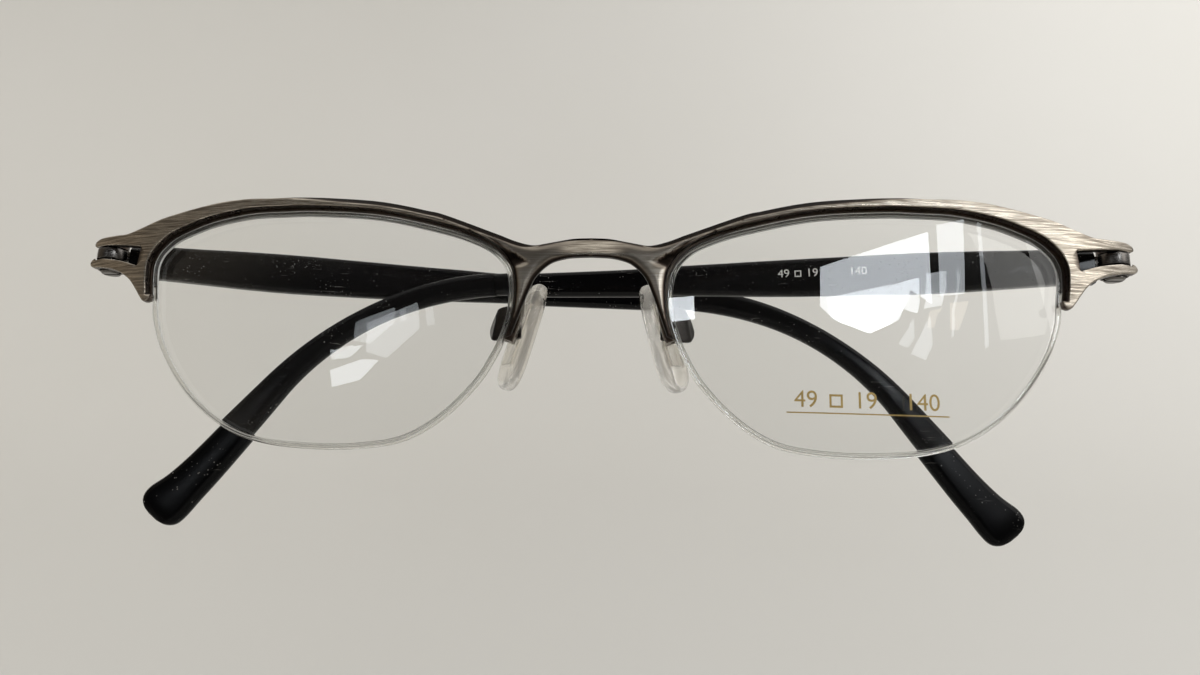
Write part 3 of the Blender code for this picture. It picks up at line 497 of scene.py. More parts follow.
def make_front():
    """The dense left half with its two lugs, mirrored into the whole front."""
    half = mesh_object("front_brushed", front_half())
    hinge = placed(HINGE_X, HINGE_SETBACK, HINGE_HEIGHT)
    axis = Matrix.Translation(hinge)
    middle = HINGE_SLOT / 2
    end = middle + LUG_HEIGHT
    for low, high in ((middle / 2, end), (-end, -middle / 2)):
        profile = [
            (0, high), (LUG_RADIUS - LUG_EASE, high), (LUG_RADIUS, high - LUG_EASE),
            (LUG_RADIUS, low + LUG_EASE), (LUG_RADIUS - LUG_EASE, low), (0, low),
        ]
        boolean(half, turned("lug", profile, axis), "UNION")
    bore = SCREW_RADIUS + HINGE_GAP
    room = KNUCKLE_RADIUS + HINGE_GAP + SEAM
    head = SCREW_HEAD_RADIUS + HINGE_GAP + SEAM
    top, seat, below = middle + THREAD_SHARE * LUG_HEIGHT, SCREW_SEAT - end, -3 * end
    profile = [
        (0, top), (bore, top), (bore, middle), (room, middle), (room, -middle),
        (bore, -middle), (bore, seat), (head, seat), (head, below), (0, below),
    ]
    boolean(half, turned("hinge_room", profile, axis), "DIFFERENCE")
    mirror = half.modifiers.new("mirror", "MIRROR")
    mirror.merge_threshold = 1e-6
    return bake_down(half, 40.0)


def surface(name, **values):
    """A Principled material, whose sockets take the given values, by name with _ for a space."""
    made = bpy.data.materials.new(name)
    made.use_nodes = True
    shader = made.node_tree.nodes["Principled BSDF"]
    for key, value in values.items():
        shader.inputs[key.replace("_", " ")].default_value = value
    return made, made.node_tree, shader


def feed(socket, value):
    """Gives a socket another node's output, or a plain value."""
    if isinstance(value, bpy.types.NodeSocket):
        socket.id_data.links.new(value, socket)
    else:
        socket.default_value = value


def node(tree, kind, settings=None, **values):
    """A node with its settings, and what its inputs are fed, by name with _ for a space."""
    made = tree.nodes.new(kind)
    for key, value in (settings or {}).items():
        setattr(made, key, value)
    for key, value in values.items():
        feed(made.inputs[key.replace("_", " ")], value)
    return made


def stretched(tree, scale, turn=(0, 0, 0)):
    """Object coordinates, stretched to a pattern's scale."""
    place = node(tree, "ShaderNodeTexCoord").outputs["Object"]
    return node(tree, "ShaderNodeMapping", Vector=place, Scale=scale, Rotation=turn).outputs["Vector"]


def noise(tree, scale, detail, roughness, turn=(0, 0, 0)):
    vector = stretched(tree, scale, turn)
    values = {"Scale": 1.0, "Detail": detail, "Roughness": roughness}
    return node(tree, "ShaderNodeTexNoise", Vector=vector, **values).outputs["Fac"]


def ranged(value, low, high, to_low=0.0, to_high=1.0):
    ends = {"From_Min": low, "From_Max": high, "To_Min": to_low, "To_Max": to_high}
    return node(value.id_data, "ShaderNodeMapRange", Value=value, **ends).outputs["Result"]


def varied(pattern, low, high):
    """A value that wanders between two others with a noise pattern, most of which lies at 0.3 to 0.7."""
    return ranged(pattern, 0.3, 0.7, low, high)


def sums(operation, first, second):
    made = node(first.id_data, "ShaderNodeMath", {"operation": operation})
    feed(made.inputs[0], first)
    feed(made.inputs[1], second)
    return made.outputs["Value"]


def times(first, second):
    return sums("MULTIPLY", first, second)


def blended(share, first, second):
    """A colour between two colours or colour outputs."""
    made = node(share.id_data, "ShaderNodeMix", {"data_type": "RGBA"}, Factor=share)
    colours = [socket for socket in made.inputs if socket.type == "RGBA"]
    for socket, value in zip(colours, (first, second)):
        feed(socket, value)
    return [socket for socket in made.outputs if socket.type == "RGBA"][0]


def coated(shader, colour, roughness):
    feed(shader.inputs["Base Color"], colour)
    feed(shader.inputs["Roughness"], roughness)


def bumped(shader, height, strength, distance=0.02 * MM):
    bump = node(shader.id_data, "ShaderNodeBump", Height=height, Strength=strength, Distance=distance)
    feed(shader.inputs["Normal"], bump.outputs["Normal"])


def brushed_pewter():
    """Steel under a dark patina that is brushed away in fine level strokes, and near black painted
    shade.
    """
    made, tree, shader = surface("brushed pewter over dark patina", Metallic=1.0, Anisotropic=0.35)
    feed(shader.inputs["Tangent"], node(tree, "ShaderNodeCombineXYZ", X=1.0).outputs["Vector"])
    fine = noise(tree, (330, 330, 10500), 3.0, 0.6)
    broad = noise(tree, (220, 220, 4600), 3.0, 0.6)
    cloud = noise(tree, (90, 90, 140), 3.0, 0.5)
    strokes = sums("ADD", times(fine, 0.55), times(broad, 0.45))
    polish = node(tree, "ShaderNodeAttribute", {"attribute_name": "polish"}).outputs["Fac"]
    shares = {"Factor": times(polish, 0.75), "A": ranged(strokes, 0.4, 0.6), "B": 0.6}
    strokes = node(tree, "ShaderNodeMix", **shares).outputs[0]
    bare_and_painted_light = node(tree, "ShaderNodeAttribute", {"attribute_name": "bare_and_painted_light"}).outputs["Fac"]
    worn = times(bare_and_painted_light, ranged(strokes, 0.0, 1.0, 0.55, 1.1))
    worn = times(worn, varied(cloud, 0.88, 1.06))
    patina = blended(cloud, PATINA_DEEP, PATINA_PALE)
    # Painted shade: near black where the face's attribute falls below zero
    patina = blended(ranged(bare_and_painted_light, 0.0, -0.8), patina, NEAR_BLACK)
    metal = blended(strokes, METAL_DEEP, METAL_PALE)
    coated(shader, blended(worn, patina, metal), ranged(strokes, 0.0, 1.0, 0.38, 0.25))
    bumped(shader, strokes, 0.25)
    return made


front = make_front()
front.data.materials.clear()
front.data.materials.append(brushed_pewter())
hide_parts("front_frame")
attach(front, "front")

# Rims: a brown plated wire with a groove in its inner side, soldered behind the brow, leg and spur.
# A strip of clear nylon lies in the groove, and the lens's own groove sits on it. Both are drawn to
# length and bent round the lens, so one tree of nodes sweeps a section along the lens's edge.
CHANNEL_WIDTH = 1.2 * MM
GROOVE_WIDTH = 0.9 * MM
GROOVE_DEPTH = 0.55 * MM
GROOVE_MIDDLE = CHANNEL_FRONT + LENS_EDGE / 2
GROOVE_WALL = (LENS_EDGE - GROOVE_WIDTH) / 2
CORD_RADIUS = 0.3 * MM
CORD_HOLD = 1.5 * MM
STRIP_STEP = 0.5 * MM
CHANNEL_EASE = 0.1 * MM
CHANNEL_SLOPE = 0.3 * MM
LINER_CORNER = 0.08 * MM
BROWN_DEEP = (0.07, 0.057, 0.046, 1)
BROWN_PALE = (0.23, 0.19, 0.155, 1)
NYLON_DEEP = (0.88, 0.865, 0.83, 1)
NYLON_PALE = (0.96, 0.95, 0.925, 1)
SIDES = ((1, "left"), (-1, "right"))


def tree_with(name, inputs, output):
    """Geometry nodes with inputs, by name and kind, and one output; and the sockets of the inputs."""
    tree = bpy.data.node_groups.new(name, "GeometryNodeTree")
    for socket, kind in inputs.items():
        tree.interface.new_socket(socket, in_out="INPUT", socket_type="NodeSocket" + kind)
    tree.interface.new_socket(output, in_out="OUTPUT", socket_type="NodeSocketGeometry")
    return tree, tree.nodes.new("NodeGroupInput").outputs


def tree_end(tree, geometry, finish):
    """Makes the geometry real, gives it its material and hands it out."""
    real = node(tree, "GeometryNodeRealizeInstances", Geometry=geometry)
    made = node(tree, "GeometryNodeSetMaterial", Geometry=real.outputs["Geometry"], Material=finish)
    feed(tree.nodes.new("NodeGroupOutput").inputs[0], made.outputs["Geometry"])
    return tree


def edge_strip_tree():
    """Nodes that sweep a section along a lens's edge, which lies flat and is stood up afterwards."""
    inputs = {"Edge": "Geometry", "Section": "Object", "Face Place": "Vector", "Finish": "Material"}
    tree, given = tree_with("strip along the lens edge", inputs, "Strip")
    section = node(tree, "GeometryNodeObjectInfo", Object=given["Section"])
    section = node(tree, "GeometryNodeMeshToCurve", Mesh=section.outputs["Geometry"])
    edge = node(tree, "GeometryNodeMeshToCurve", Mesh=given["Edge"])
    level = node(tree, "GeometryNodeSetCurveNormal", {"mode": "Z_UP"}, Curve=edge.outputs["Curve"])
    swept = node(
        tree, "GeometryNodeCurveToMesh",
        Curve=level.outputs["Curve"], Profile_Curve=section.outputs["Curve"], Fill_Caps=True,
    )
    stood = node(
        tree, "GeometryNodeTransform",
        Geometry=swept.outputs["Mesh"], Translation=given["Face Place"], Rotation=(math.pi / 2, 0, 0),
    )
    return tree_end(tree, stood.outputs["Geometry"], given["Finish"])


def loose_line(name, points, closed=False):
    """An object with one line of edges through the points."""
    shape = bmesh.new()
    verts = [shape.verts.new(p) for p in points]
    for first, second in zip(verts, verts[1:]):
        shape.edges.new((first, second))
    if closed:
        shape.edges.new((verts[-1], verts[0]))
    return mesh_object(name, shape)


def set_inputs(obj, tree, **values):
    """Gives the object the tree as a modifier, with its inputs set by their sockets' identifiers."""
    change = obj.modifiers.new("make", "NODES")
    change.node_group = tree
    for item in tree.interface.items_tree:
        if item.item_type == "SOCKET" and item.name.replace(" ", "_") in values:
            change[item.identifier] = values[item.name.replace(" ", "_")]
    return obj


def outwards(obj):
    shape = bmesh.new()
    shape.from_mesh(obj.data)
    bmesh.ops.recalc_face_normals(shape, faces=shape.faces)
    shape.to_mesh(obj.data)
    shape.free()
    return obj


def edge_strip(name, tree, side, stations, section, finish, angle=35.0):
    """A strip along the lens's edge; its section is (outwards, depth behind the face) pairs."""
    run = stations if side > 0 else stations[::-1]
    path = loose_line(name, [(side * point.x, point.y, -sheet(point.x, point.y)) for point, _ in run])
    outline = loose_line(name + "_section", [(-out, depth, 0) for out, depth in section], closed=True)
    place = (0.0, FACE_Y, LENS_LEVEL)
    made = bake_down(set_inputs(path, tree, Section=outline, Face_Place=place, Finish=finish), angle)
    bpy.data.objects.remove(outline)
    return outwards(made)


def rounded_section(height, thickness, corner, steps):
    """(across, up) points of a rectangle with rounded corners."""
    corner = min(corner, 0.46 * thickness, 0.46 * height)
    made = []
    for turn in range(4):
        across = (thickness / 2 - corner) * (1 if turn in (0, 3) else -1)
        up = (height / 2 - corner) * (1 if turn < 2 else -1)
        for step in range(steps + 1):
            angle = math.pi / 2 * (turn + step / steps)
            made.append((across + corner * math.cos(angle), up + corner * math.sin(angle)))
    return made


def plated(name, deep, pale):
    """Dark plating on steel, a little uneven where it was soldered and handled."""
    made, tree, shader = surface(name, Metallic=1.0)
    mottle = noise(tree, (900, 900, 900), 5.0, 0.6)
    cloud = noise(tree, (180, 180, 180), 3.0, 0.5)
    coated(shader, blended(mottle, deep, pale), varied(cloud, 0.22, 0.42))
    bumped(shader, mottle, 0.2)
    return made


def clear_nylon():
    """Drawn nylon: clear, with a faint haze that comes and goes along its length."""
    made, tree, shader = surface("clear drawn nylon", Transmission_Weight=0.92, IOR=1.45)
    haze = noise(tree, (150, 150, 150), 2.0, 0.5)
    coated(shader, blended(haze, NYLON_DEEP, NYLON_PALE), varied(haze, 0.03, 0.1))
    return made


strip_tree = edge_strip_tree()
wire = plated("brown plated wire", BROWN_DEEP, BROWN_PALE)
nylon = clear_nylon()
channel_out = SEAM + CHANNEL_WIDTH
channel_section = [
    (SEAM, CHANNEL_FRONT),
    (channel_out - CHANNEL_EASE, CHANNEL_FRONT),
    (channel_out, CHANNEL_FRONT + CHANNEL_EASE),
    (channel_out, CHANNEL_BACK - CHANNEL_SLOPE),
    (channel_out - CHANNEL_EASE, CHANNEL_BACK - CHANNEL_EASE),
    (channel_out - CHANNEL_SLOPE, CHANNEL_BACK),
    (SEAM, CHANNEL_BACK),
    (SEAM, CHANNEL_BACK - GROOVE_WALL),
    (SEAM + GROOVE_DEPTH, CHANNEL_BACK - GROOVE_WALL),
    (SEAM + GROOVE_DEPTH, CHANNEL_FRONT + GROOVE_WALL),
    (SEAM, CHANNEL_FRONT + GROOVE_WALL),
]
liner_size = (GROOVE_WIDTH - 2 * SEAM, 2 * GROOVE_DEPTH - SEAM)
liner_section = [
    (SEAM / 2 + across, GROOVE_MIDDLE + up)
    for across, up in rounded_section(*liner_size, LINER_CORNER, 2)
]
for side, label in SIDES:
    held = run_of(edge_stations(STRIP_STEP), in_rim)
    channel = edge_strip(f"rim_wire_{label}", strip_tree, side, held, channel_section, wire)
    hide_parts(f"rim_channel_{label}")
    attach(channel, "front")
    trim = CORD_HOLD + CORD_RADIUS + SEAM
    lined = run_of(edge_stations(STRIP_STEP), lambda point: in_rim(point, trim))
    liner = edge_strip(f"nylon_liner_{label}", strip_tree, side, lined, liner_section, nylon)
    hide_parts(f"rim_liner_{label}")
    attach(liner, "front")

# Lenses: clear plastic, slightly thinner in the middle, with a groove cut round the edge. Their
# polished faces follow the front's curve. They let lamps through, so that what is behind them is
# lit as in the open.
LENS_CENTRE = 1.5 * MM
LENS_CHAMFER = 0.08 * MM
LENS_STEP = 0.6 * MM
LENS_RINGS = 16
EDGE_FACING = 0.6
LENS_INDEX = 1.5
LENS_TINT = (0.985, 0.99, 0.985, 1)
LENS_SHADE = (0.95, 0.96, 0.95, 1)
GROUND_DEEP = (0.9, 0.89, 0.87, 1)
GROUND_PALE = (0.98, 0.975, 0.96, 1)


def skin(name, rings):
    """A closed skin through rings of equally many points."""
    shape = bmesh.new()
    loops = [[shape.verts.new(p) for p in ring] for ring in rings]
    for first, second in zip(loops, loops[1:]):
        for i in range(len(first)):
            j = (i + 1) % len(first)
            shape.faces.new((first[i], first[j], second[j], second[i]))
    shape.faces.new(loops[0])
    shape.faces.new(loops[-1])
    bmesh.ops.recalc_face_normals(shape, faces=shape.faces)
    return mesh_object(name, shape)


def lens_plastic():
    """Clear lens plastic with a faint smear of handling; lamps shine straight through it."""
    made, tree, shader = surface("clear lens plastic", Transmission_Weight=1.0, IOR=LENS_INDEX)
    feed(shader.inputs["Base Color"], LENS_TINT)
    smear = noise(tree, (60, 60, 110), 4.0, 0.6, (0, 0.6, 0))
    feed(shader.inputs["Roughness"], ranged(smear, 0.5, 0.8, 0.0, 0.05))
    open_air = node(tree, "ShaderNodeBsdfTransparent", Color=LENS_SHADE).outputs["BSDF"]
    from_lamp = node(tree, "ShaderNodeLightPath").outputs["Is Shadow Ray"]
    mix = tree.nodes.new("ShaderNodeMixShader")
    for socket, value in zip(mix.inputs, (from_lamp, shader.outputs["BSDF"], open_air)):
        feed(socket, value)
    feed(tree.nodes["Material Output"].inputs["Surface"], mix.outputs["Shader"])
    return made


def ground_edge():
    """The lens's edge, ground matt and a little milky."""
    made, tree, shader = surface("ground lens edge", Transmission_Weight=0.12, IOR=LENS_INDEX)
    grit = noise(tree, (1500, 1500, 1500), 3.0, 0.6)
    coated(shader, blended(grit, GROUND_DEEP, GROUND_PALE), varied(grit, 0.35, 0.55))
    return made


def make_lens(side, label, finishes):
    stations = edge_stations(LENS_STEP)
    centre = Vector(((BRIDGE_WIDTH + LENS_WIDTH) / 2, 0.0))

    def face_ring(share, depth):
        places = [centre + (point - centre) * share for point, _ in stations]
        return [placed(side * p.x, depth, p.y) for p in places]

    def edge_ring(out, depth):
        places = [point + normal * out for point, normal in stations]
        return [placed(side * p.x, depth, p.y) for p in places]

    shares = [(i + 1) / (LENS_RINGS + 1) for i in range(LENS_RINGS)]
    rings = [face_ring(share, CHANNEL_FRONT) for share in shares]
    edge = [
        (-LENS_CHAMFER, CHANNEL_FRONT),
        (0, CHANNEL_FRONT + LENS_CHAMFER),
        (0, CHANNEL_FRONT + GROOVE_WALL),
        (-GROOVE_DEPTH, CHANNEL_FRONT + GROOVE_WALL),
        (-GROOVE_DEPTH, CHANNEL_BACK - GROOVE_WALL),
        (0, CHANNEL_BACK - GROOVE_WALL),
        (0, CHANNEL_BACK - LENS_CHAMFER),
        (-LENS_CHAMFER, CHANNEL_BACK),
    ]
    rings += [edge_ring(out, depth) for out, depth in edge]
    hollow = LENS_EDGE - LENS_CENTRE
    rings += [face_ring(share, CHANNEL_BACK - hollow * (1 - share ** 2)) for share in reversed(shares)]
    made = bake_down(skin(f"lens_clear_{label}", rings), 30.0)
    for finish in finishes:
        made.data.materials.append(finish)
    for face in made.data.polygons:
        face.material_index = 1 if abs(face.normal.y) < EDGE_FACING else 0
    return made


lens_finishes = (lens_plastic(), ground_edge())
for side, label in SIDES:
    lens = make_lens(side, label, lens_finishes)
    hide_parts(f"lens_{label}")
    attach(lens, "front")

# Lens cords: clear nylon pulled tight in the lens's groove round its lower edge. Each end is threaded
# into the rim's wire, and the cord holds the lens up into the rim.
CORD_SIDES = 12
cord_centre = SEAM + CORD_RADIUS - GROOVE_DEPTH
cord_turns = [2 * math.pi * i / CORD_SIDES for i in range(CORD_SIDES)]
cord_section = [
    (cord_centre + CORD_RADIUS * math.cos(turn), GROOVE_MIDDLE + CORD_RADIUS * math.sin(turn))
    for turn in cord_turns
]
for side, label in SIDES:
    held = run_of(edge_stations(STRIP_STEP), lambda point: not in_rim(point, CORD_HOLD))
    cord = edge_strip(f"nylon_cord_{label}", strip_tree, side, held, cord_section, nylon, 60.0)
    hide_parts(f"lens_cord_{label}")
    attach(cord, "front")

# Hinges: a flat steel tang with a round knuckle is sunk into each temple and sits between the lugs,
# with a thin washer above and below. A slotted screw goes up through them from below, its head in
# the lower lug.
SCREW_HEAD_HEIGHT = 0.55 * MM
SCREW_HEAD_EASE = 0.2 * MM
SCREW_SLOT = 0.35 * MM
SCREW_SLOT_DEPTH = 0.3 * MM
HEAD_SIDES = 48
SHANK_SIDES = 32
TANG_EASE = 0.08 * MM
STEEL_DEEP = (0.07, 0.065, 0.06, 1)
STEEL_PALE = (0.24, 0.225, 0.21, 1)


def eased_copy(name, node_name, width):
    """The CAD node as one clean mesh with its sharp edges eased, in place of the node, which is hidden.
    """
    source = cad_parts[node_name]
    made = in_scene(name, source.data.copy())
    shape = bmesh.new()
    shape.from_mesh(made.data)
    bmesh.ops.remove_doubles(shape, verts=shape.verts, dist=1e-6)
    for edge in shape.edges:
        edge.smooth = True
    flat = math.radians(2)
    bmesh.ops.dissolve_limit(shape, angle_limit=flat, verts=shape.verts, edges=shape.edges)
    shape.to_mesh(made.data)
    shape.free()
    bevel = made.modifiers.new("ease", "BEVEL")
    bevel.width = width
    bevel.segments = 3
    bevel.limit_method = "ANGLE"
    bevel.angle_limit = math.radians(30)
    bake_down(made, 50.0)
    made.data.materials.clear()
    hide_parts(node_name)
    return made


def hinge_steel():
    """Dark turned steel with fine tool rings and a little oil."""
    made, tree, shader = surface("dark turned steel", Metallic=1.0)
    rings = noise(tree, (300, 300, 9000), 3.0, 0.5)
    cloud = noise(tree, (400, 400, 400), 4.0, 0.5)
    coated(shader, blended(cloud, STEEL_DEEP, STEEL_PALE), varied(rings, 0.2, 0.38))
    bumped(shader, rings, 0.15)
    return made


def slotted_screw_tree():
    """Nodes that set one slotted screw on each point, its shank along the point's axis."""
    sizes = (
        "Head Radius", "Head Height", "Head Ease", "Shank Radius", "Shank Length",
        "Slot Width", "Slot Depth",
    )
    inputs = {"Places": "Geometry", **dict.fromkeys(sizes, "Float")}
    inputs.update({"Axis": "Vector", "Finish": "Material"})
    tree, given = tree_with("slotted screws", inputs, "Screws")

    def lifted(mesh, height):
        up = node(tree, "ShaderNodeCombineXYZ", Z=height).outputs["Vector"]
        return node(tree, "GeometryNodeTransform", Geometry=mesh, Translation=up).outputs["Geometry"]

    radius, tall, worn = given["Head Radius"], given["Head Height"], given["Head Ease"]
    body = sums("SUBTRACT", tall, worn)
    disc = node(tree, "GeometryNodeMeshCylinder", Vertices=HEAD_SIDES, Radius=radius, Depth=body)
    disc = lifted(disc.outputs["Mesh"], times(body, -0.5))
    crown = node(
        tree, "GeometryNodeMeshCone",
        Vertices=HEAD_SIDES, Radius_Bottom=sums("SUBTRACT", radius, worn), Radius_Top=radius, Depth=worn,
    )
    crown = lifted(crown.outputs["Mesh"], times(tall, -1.0))
    length = given["Shank Length"]
    overlap = times(body, 0.5)
    shank = node(
        tree, "GeometryNodeMeshCylinder",
        Vertices=SHANK_SIDES, Radius=given["Shank Radius"], Depth=sums("ADD", length, overlap),
    )
    rise = times(sums("SUBTRACT", length, overlap), 0.5)
    shank = lifted(shank.outputs["Mesh"], rise)
    whole = node(tree, "GeometryNodeMeshBoolean", {"operation": "UNION", "solver": "EXACT"})
    for part in (disc, crown, shank):
        feed(whole.inputs["Mesh 2"], part)
    size = node(
        tree, "ShaderNodeCombineXYZ",
        X=times(radius, 3.0), Y=given["Slot Width"], Z=times(given["Slot Depth"], 2.0),
    )
    slot = node(tree, "GeometryNodeMeshCube", Size=size.outputs["Vector"])
    slot = lifted(slot.outputs["Mesh"], times(tall, -1.0))
    cut = node(tree, "GeometryNodeMeshBoolean", {"operation": "DIFFERENCE", "solver": "EXACT"})
    feed(cut.inputs["Mesh 1"], whole.outputs["Mesh"])
    feed(cut.inputs["Mesh 2"], slot)
    points = node(tree, "GeometryNodeMeshToPoints", Mesh=given["Places"])
    turn = node(tree, "FunctionNodeAlignRotationToVector", {"axis": "Z"}, Vector=given["Axis"])
    screws = node(
        tree, "GeometryNodeInstanceOnPoints",
        Points=points.outputs["Points"], Instance=cut.outputs["Mesh"], Rotation=turn.outputs["Rotation"],
    )
    return tree_end(tree, screws.outputs["Instances"], given["Finish"])


def screw_set(name, tree, seats, finish, **sizes):
    """Slotted screws whose heads sit on the given places."""
    shape = bmesh.new()
    for seat in seats:
        shape.verts.new(seat)
    places = mesh_object(name, shape)
    return outwards(bake_down(set_inputs(places, tree, Finish=finish, **sizes), 40.0))


steel = hinge_steel()
screw_tree = slotted_screw_tree()
screw_foot = SCREW_SEAT - HINGE_SLOT / 2 - LUG_HEIGHT - HINGE_GAP
screw_top = HINGE_SLOT / 2 + THREAD_SHARE * LUG_HEIGHT - HINGE_GAP
hinge_places = [placed(side * HINGE_X, HINGE_SETBACK, HINGE_HEIGHT) for side, _ in SIDES]
seats = [place + Vector((0, 0, screw_foot)) for place in hinge_places]
hinge_screws = screw_set(
    "hinge_screws_slotted", screw_tree, seats, steel,
    Head_Radius=SCREW_HEAD_RADIUS, Head_Height=SCREW_HEAD_HEIGHT, Head_Ease=SCREW_HEAD_EASE,
    Shank_Radius=SCREW_RADIUS, Shank_Length=screw_top - screw_foot, Slot_Width=SCREW_SLOT,
    Slot_Depth=SCREW_SLOT_DEPTH, Axis=(0.0, 0.0, 1.0),
)
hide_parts("hinge_screw_left", "hinge_screw_right")
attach(hinge_screws, "front")
for side, label in SIDES:
    tang = eased_copy(f"hinge_tang_{label}", f"temple_hinge_{label}", TANG_EASE)
    tang.data.materials.append(steel)
    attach(tang, f"temple_{label}_arm")
    for level in ("upper", "lower"):
        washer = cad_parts[f"hinge_washer_{level}_{label}"]
        washer.material_slots[0].material = steel

# Temples: flat spring steel under black lacquer, with a thin core that runs on into the plastic tip.
# The lacquer is glossy, with the dust and hair scratches of handling. They are folded, the left one
# inside, and the size marks are printed in white on the left one's inner face.
TEMPLE_START = 2.5 * MM
TEMPLE_DROP = 0.8 * MM
TEMPLE_DROOP = math.radians(1.4)
BEND_START = 79.0 * MM
BEND_LENGTH = 34.5 * MM
BEND_ANGLE = math.radians(51.5)
BOW_START = 55.0 * MM
BOW_RADIUS = 320.0 * MM
CORE_LENGTH = 36.0 * MM
CORE_HEIGHT = 1.5 * MM
CORE_THICKNESS = 0.8 * MM
TIP_WALL_END = 0.6 * MM
TANG_LENGTH = 9.0 * MM
TANG_HEIGHT = 2.8 * MM
TANG_THICKNESS = 0.9 * MM
TEMPLE_CORNER = 0.7 * MM
TEMPLE_EASE = 0.1 * MM
CORE_CORNER = 0.3 * MM
CORE_STEPS = 24
TIP_CORNER = 1.1 * MM
TEMPLE_STEP = 1.2
TIP_STEP = 0.5
BLACK = (0.003, 0.003, 0.0035, 1)
DUST = (0.5, 0.49, 0.47, 1)
FOLDS = {"left": math.radians(3.2), "right": math.radians(8.2)}
# Along the temple, all in millimetres: distance from the hinge, height, thickness
TEMPLE_SECTIONS = [
    (2.5, 4.2, 2.3), (6.0, 4.5, 2.3), (12.0, 4.9, 2.2), (18.0, 5.3, 2.1), (25.0, 5.5, 2.0),
    (33.0, 5.3, 1.9), (45.0, 4.9, 1.8), (54.0, 4.3, 1.7), (63.0, 3.8, 1.6), (73.0, 3.4, 1.6),
    (80.0, 3.1, 1.6),
]
# The same along the tip, with how far its middle rises where its end flares upwards
TIP_SECTIONS = [
    (80.2, 3.3, 2.3, 0.0), (84.0, 3.3, 2.5, 0.0), (88.0, 3.2, 2.6, 0.0), (92.0, 3.1, 2.6, 0.0),
    (96.0, 3.0, 2.6, 0.0), (100.0, 3.0, 2.6, 0.0), (104.0, 3.1, 2.6, 0.0), (108.0, 3.3, 2.6, 0.0),
    (112.0, 3.6, 2.6, 0.0), (119.0, 4.4, 2.5, 0.0), (126.0, 5.0, 2.4, 0.0), (130.0, 5.5, 2.3, 0.2),
    (132.6, 6.25, 2.2, 0.5), (134.0, 5.85, 2.0, 0.53), (134.75, 4.3, 1.7, 0.48), (135.05, 2.3, 1.2, 0.4),
]


def temple_path(hand, place):
    """The centre line's (distance, bow, height) and its slope at a length from the hinge."""
    straight = min(place, BEND_START)
    distance = straight * math.cos(TEMPLE_DROOP)
    height = -TEMPLE_DROP - straight * math.sin(TEMPLE_DROOP)
    bent = min(max(0.0, place - BEND_START), BEND_LENGTH)
    slope = TEMPLE_DROOP + BEND_ANGLE * bent / BEND_LENGTH
    if bent:
        rate = BEND_ANGLE / BEND_LENGTH
        distance += (math.sin(slope) - math.sin(TEMPLE_DROOP)) / rate
        height += (math.cos(slope) - math.cos(TEMPLE_DROOP)) / rate
    rest = max(0.0, place - BEND_START - BEND_LENGTH)
    distance += rest * math.cos(slope)
    height -= rest * math.sin(slope)
    bow = -max(0.0, distance - BOW_START) ** 2 / (2 * BOW_RADIUS)
    return Vector((distance, hand * bow, height)), slope


def temple_ring(axis, hand, place, height, thickness, corner, lift=0.0):
    centre, slope = temple_path(hand, place)
    up = Vector((math.sin(slope), 0, math.cos(slope)))
    ring = []
    for across, rise in rounded_section(height, thickness, corner, 6):
        ring.append(axis @ (centre + up * (rise + lift) + Vector((0, hand * across, 0))))
    return ring


def temple_axis(side, fold):
    turn = fold if side < 0 else math.pi - fold
    hinge = placed(side * HINGE_X, HINGE_SETBACK, HINGE_HEIGHT)
    return Matrix.Translation(hinge) @ Matrix.Rotation(turn, 4, "Z")


def black_gloss(name, gloss, roughness, speck_size):
    """Glossy black with settled dust, hair scratches and a faint smear of handling."""
    made, tree, shader = surface(name, Specular_IOR_Level=gloss)
    grains = stretched(tree, (1 / speck_size,) * 3)
    dust = node(
        tree, "ShaderNodeTexVoronoi", {"feature": "F1"}, Vector=grains, Scale=1.0, Randomness=1.0,
    ).outputs["Distance"]
    rare = noise(tree, (300, 300, 300), 2.0, 0.5)
    speck = times(ranged(dust, 0.2, 0.09), ranged(rare, 0.5, 0.64))
    scratch = noise(tree, (250, 250, 5200), 3.0, 0.5, (0, 0.9, 0.2))
    scratch = times(ranged(scratch, 0.66, 0.74), ranged(rare, 0.52, 0.6))
    smear = noise(tree, (70, 70, 170), 4.0, 0.6)
    mark = sums("MAXIMUM", times(speck, 0.45), times(scratch, 0.3))
    colour = blended(mark, BLACK, DUST)
    rough = varied(smear, roughness, roughness + 0.1)
    coated(shader, colour, sums("ADD", rough, times(mark, 0.4)))
    bumped(shader, mark, 0.2)
    return made


def make_temple(side, label, finish):
    hand = -side
    axis = temple_axis(side, FOLDS[label])
    start, end = TEMPLE_START, TEMPLE_SECTIONS[-1][0] * MM
    pocket = (TANG_HEIGHT + 2 * SEAM, TANG_THICKNESS + 2 * SEAM, SEAM)
    rings = [temple_ring(axis, hand, place, *pocket) for place in (start + TANG_LENGTH + SEAM, start)]
    mouth = [size * MM - 2 * TEMPLE_EASE for size in TEMPLE_SECTIONS[0][1:]]
    rings.append(temple_ring(axis, hand, start, *mouth, TEMPLE_CORNER - TEMPLE_EASE))
    for s, h, t in smooth(TEMPLE_SECTIONS, TEMPLE_STEP):
        place = max(s * MM, start + TEMPLE_EASE)
        rings.append(temple_ring(axis, hand, place, h * MM, t * MM, TEMPLE_CORNER))
    for i in range(CORE_STEPS + 1):
        place = end + CORE_LENGTH * i / CORE_STEPS
        rings.append(temple_ring(axis, hand, place, CORE_HEIGHT, CORE_THICKNESS, CORE_CORNER))
    made = bake_down(skin(f"temple_lacquered_{label}", rings), 35.0)
    made.data.materials.append(finish)
    return made


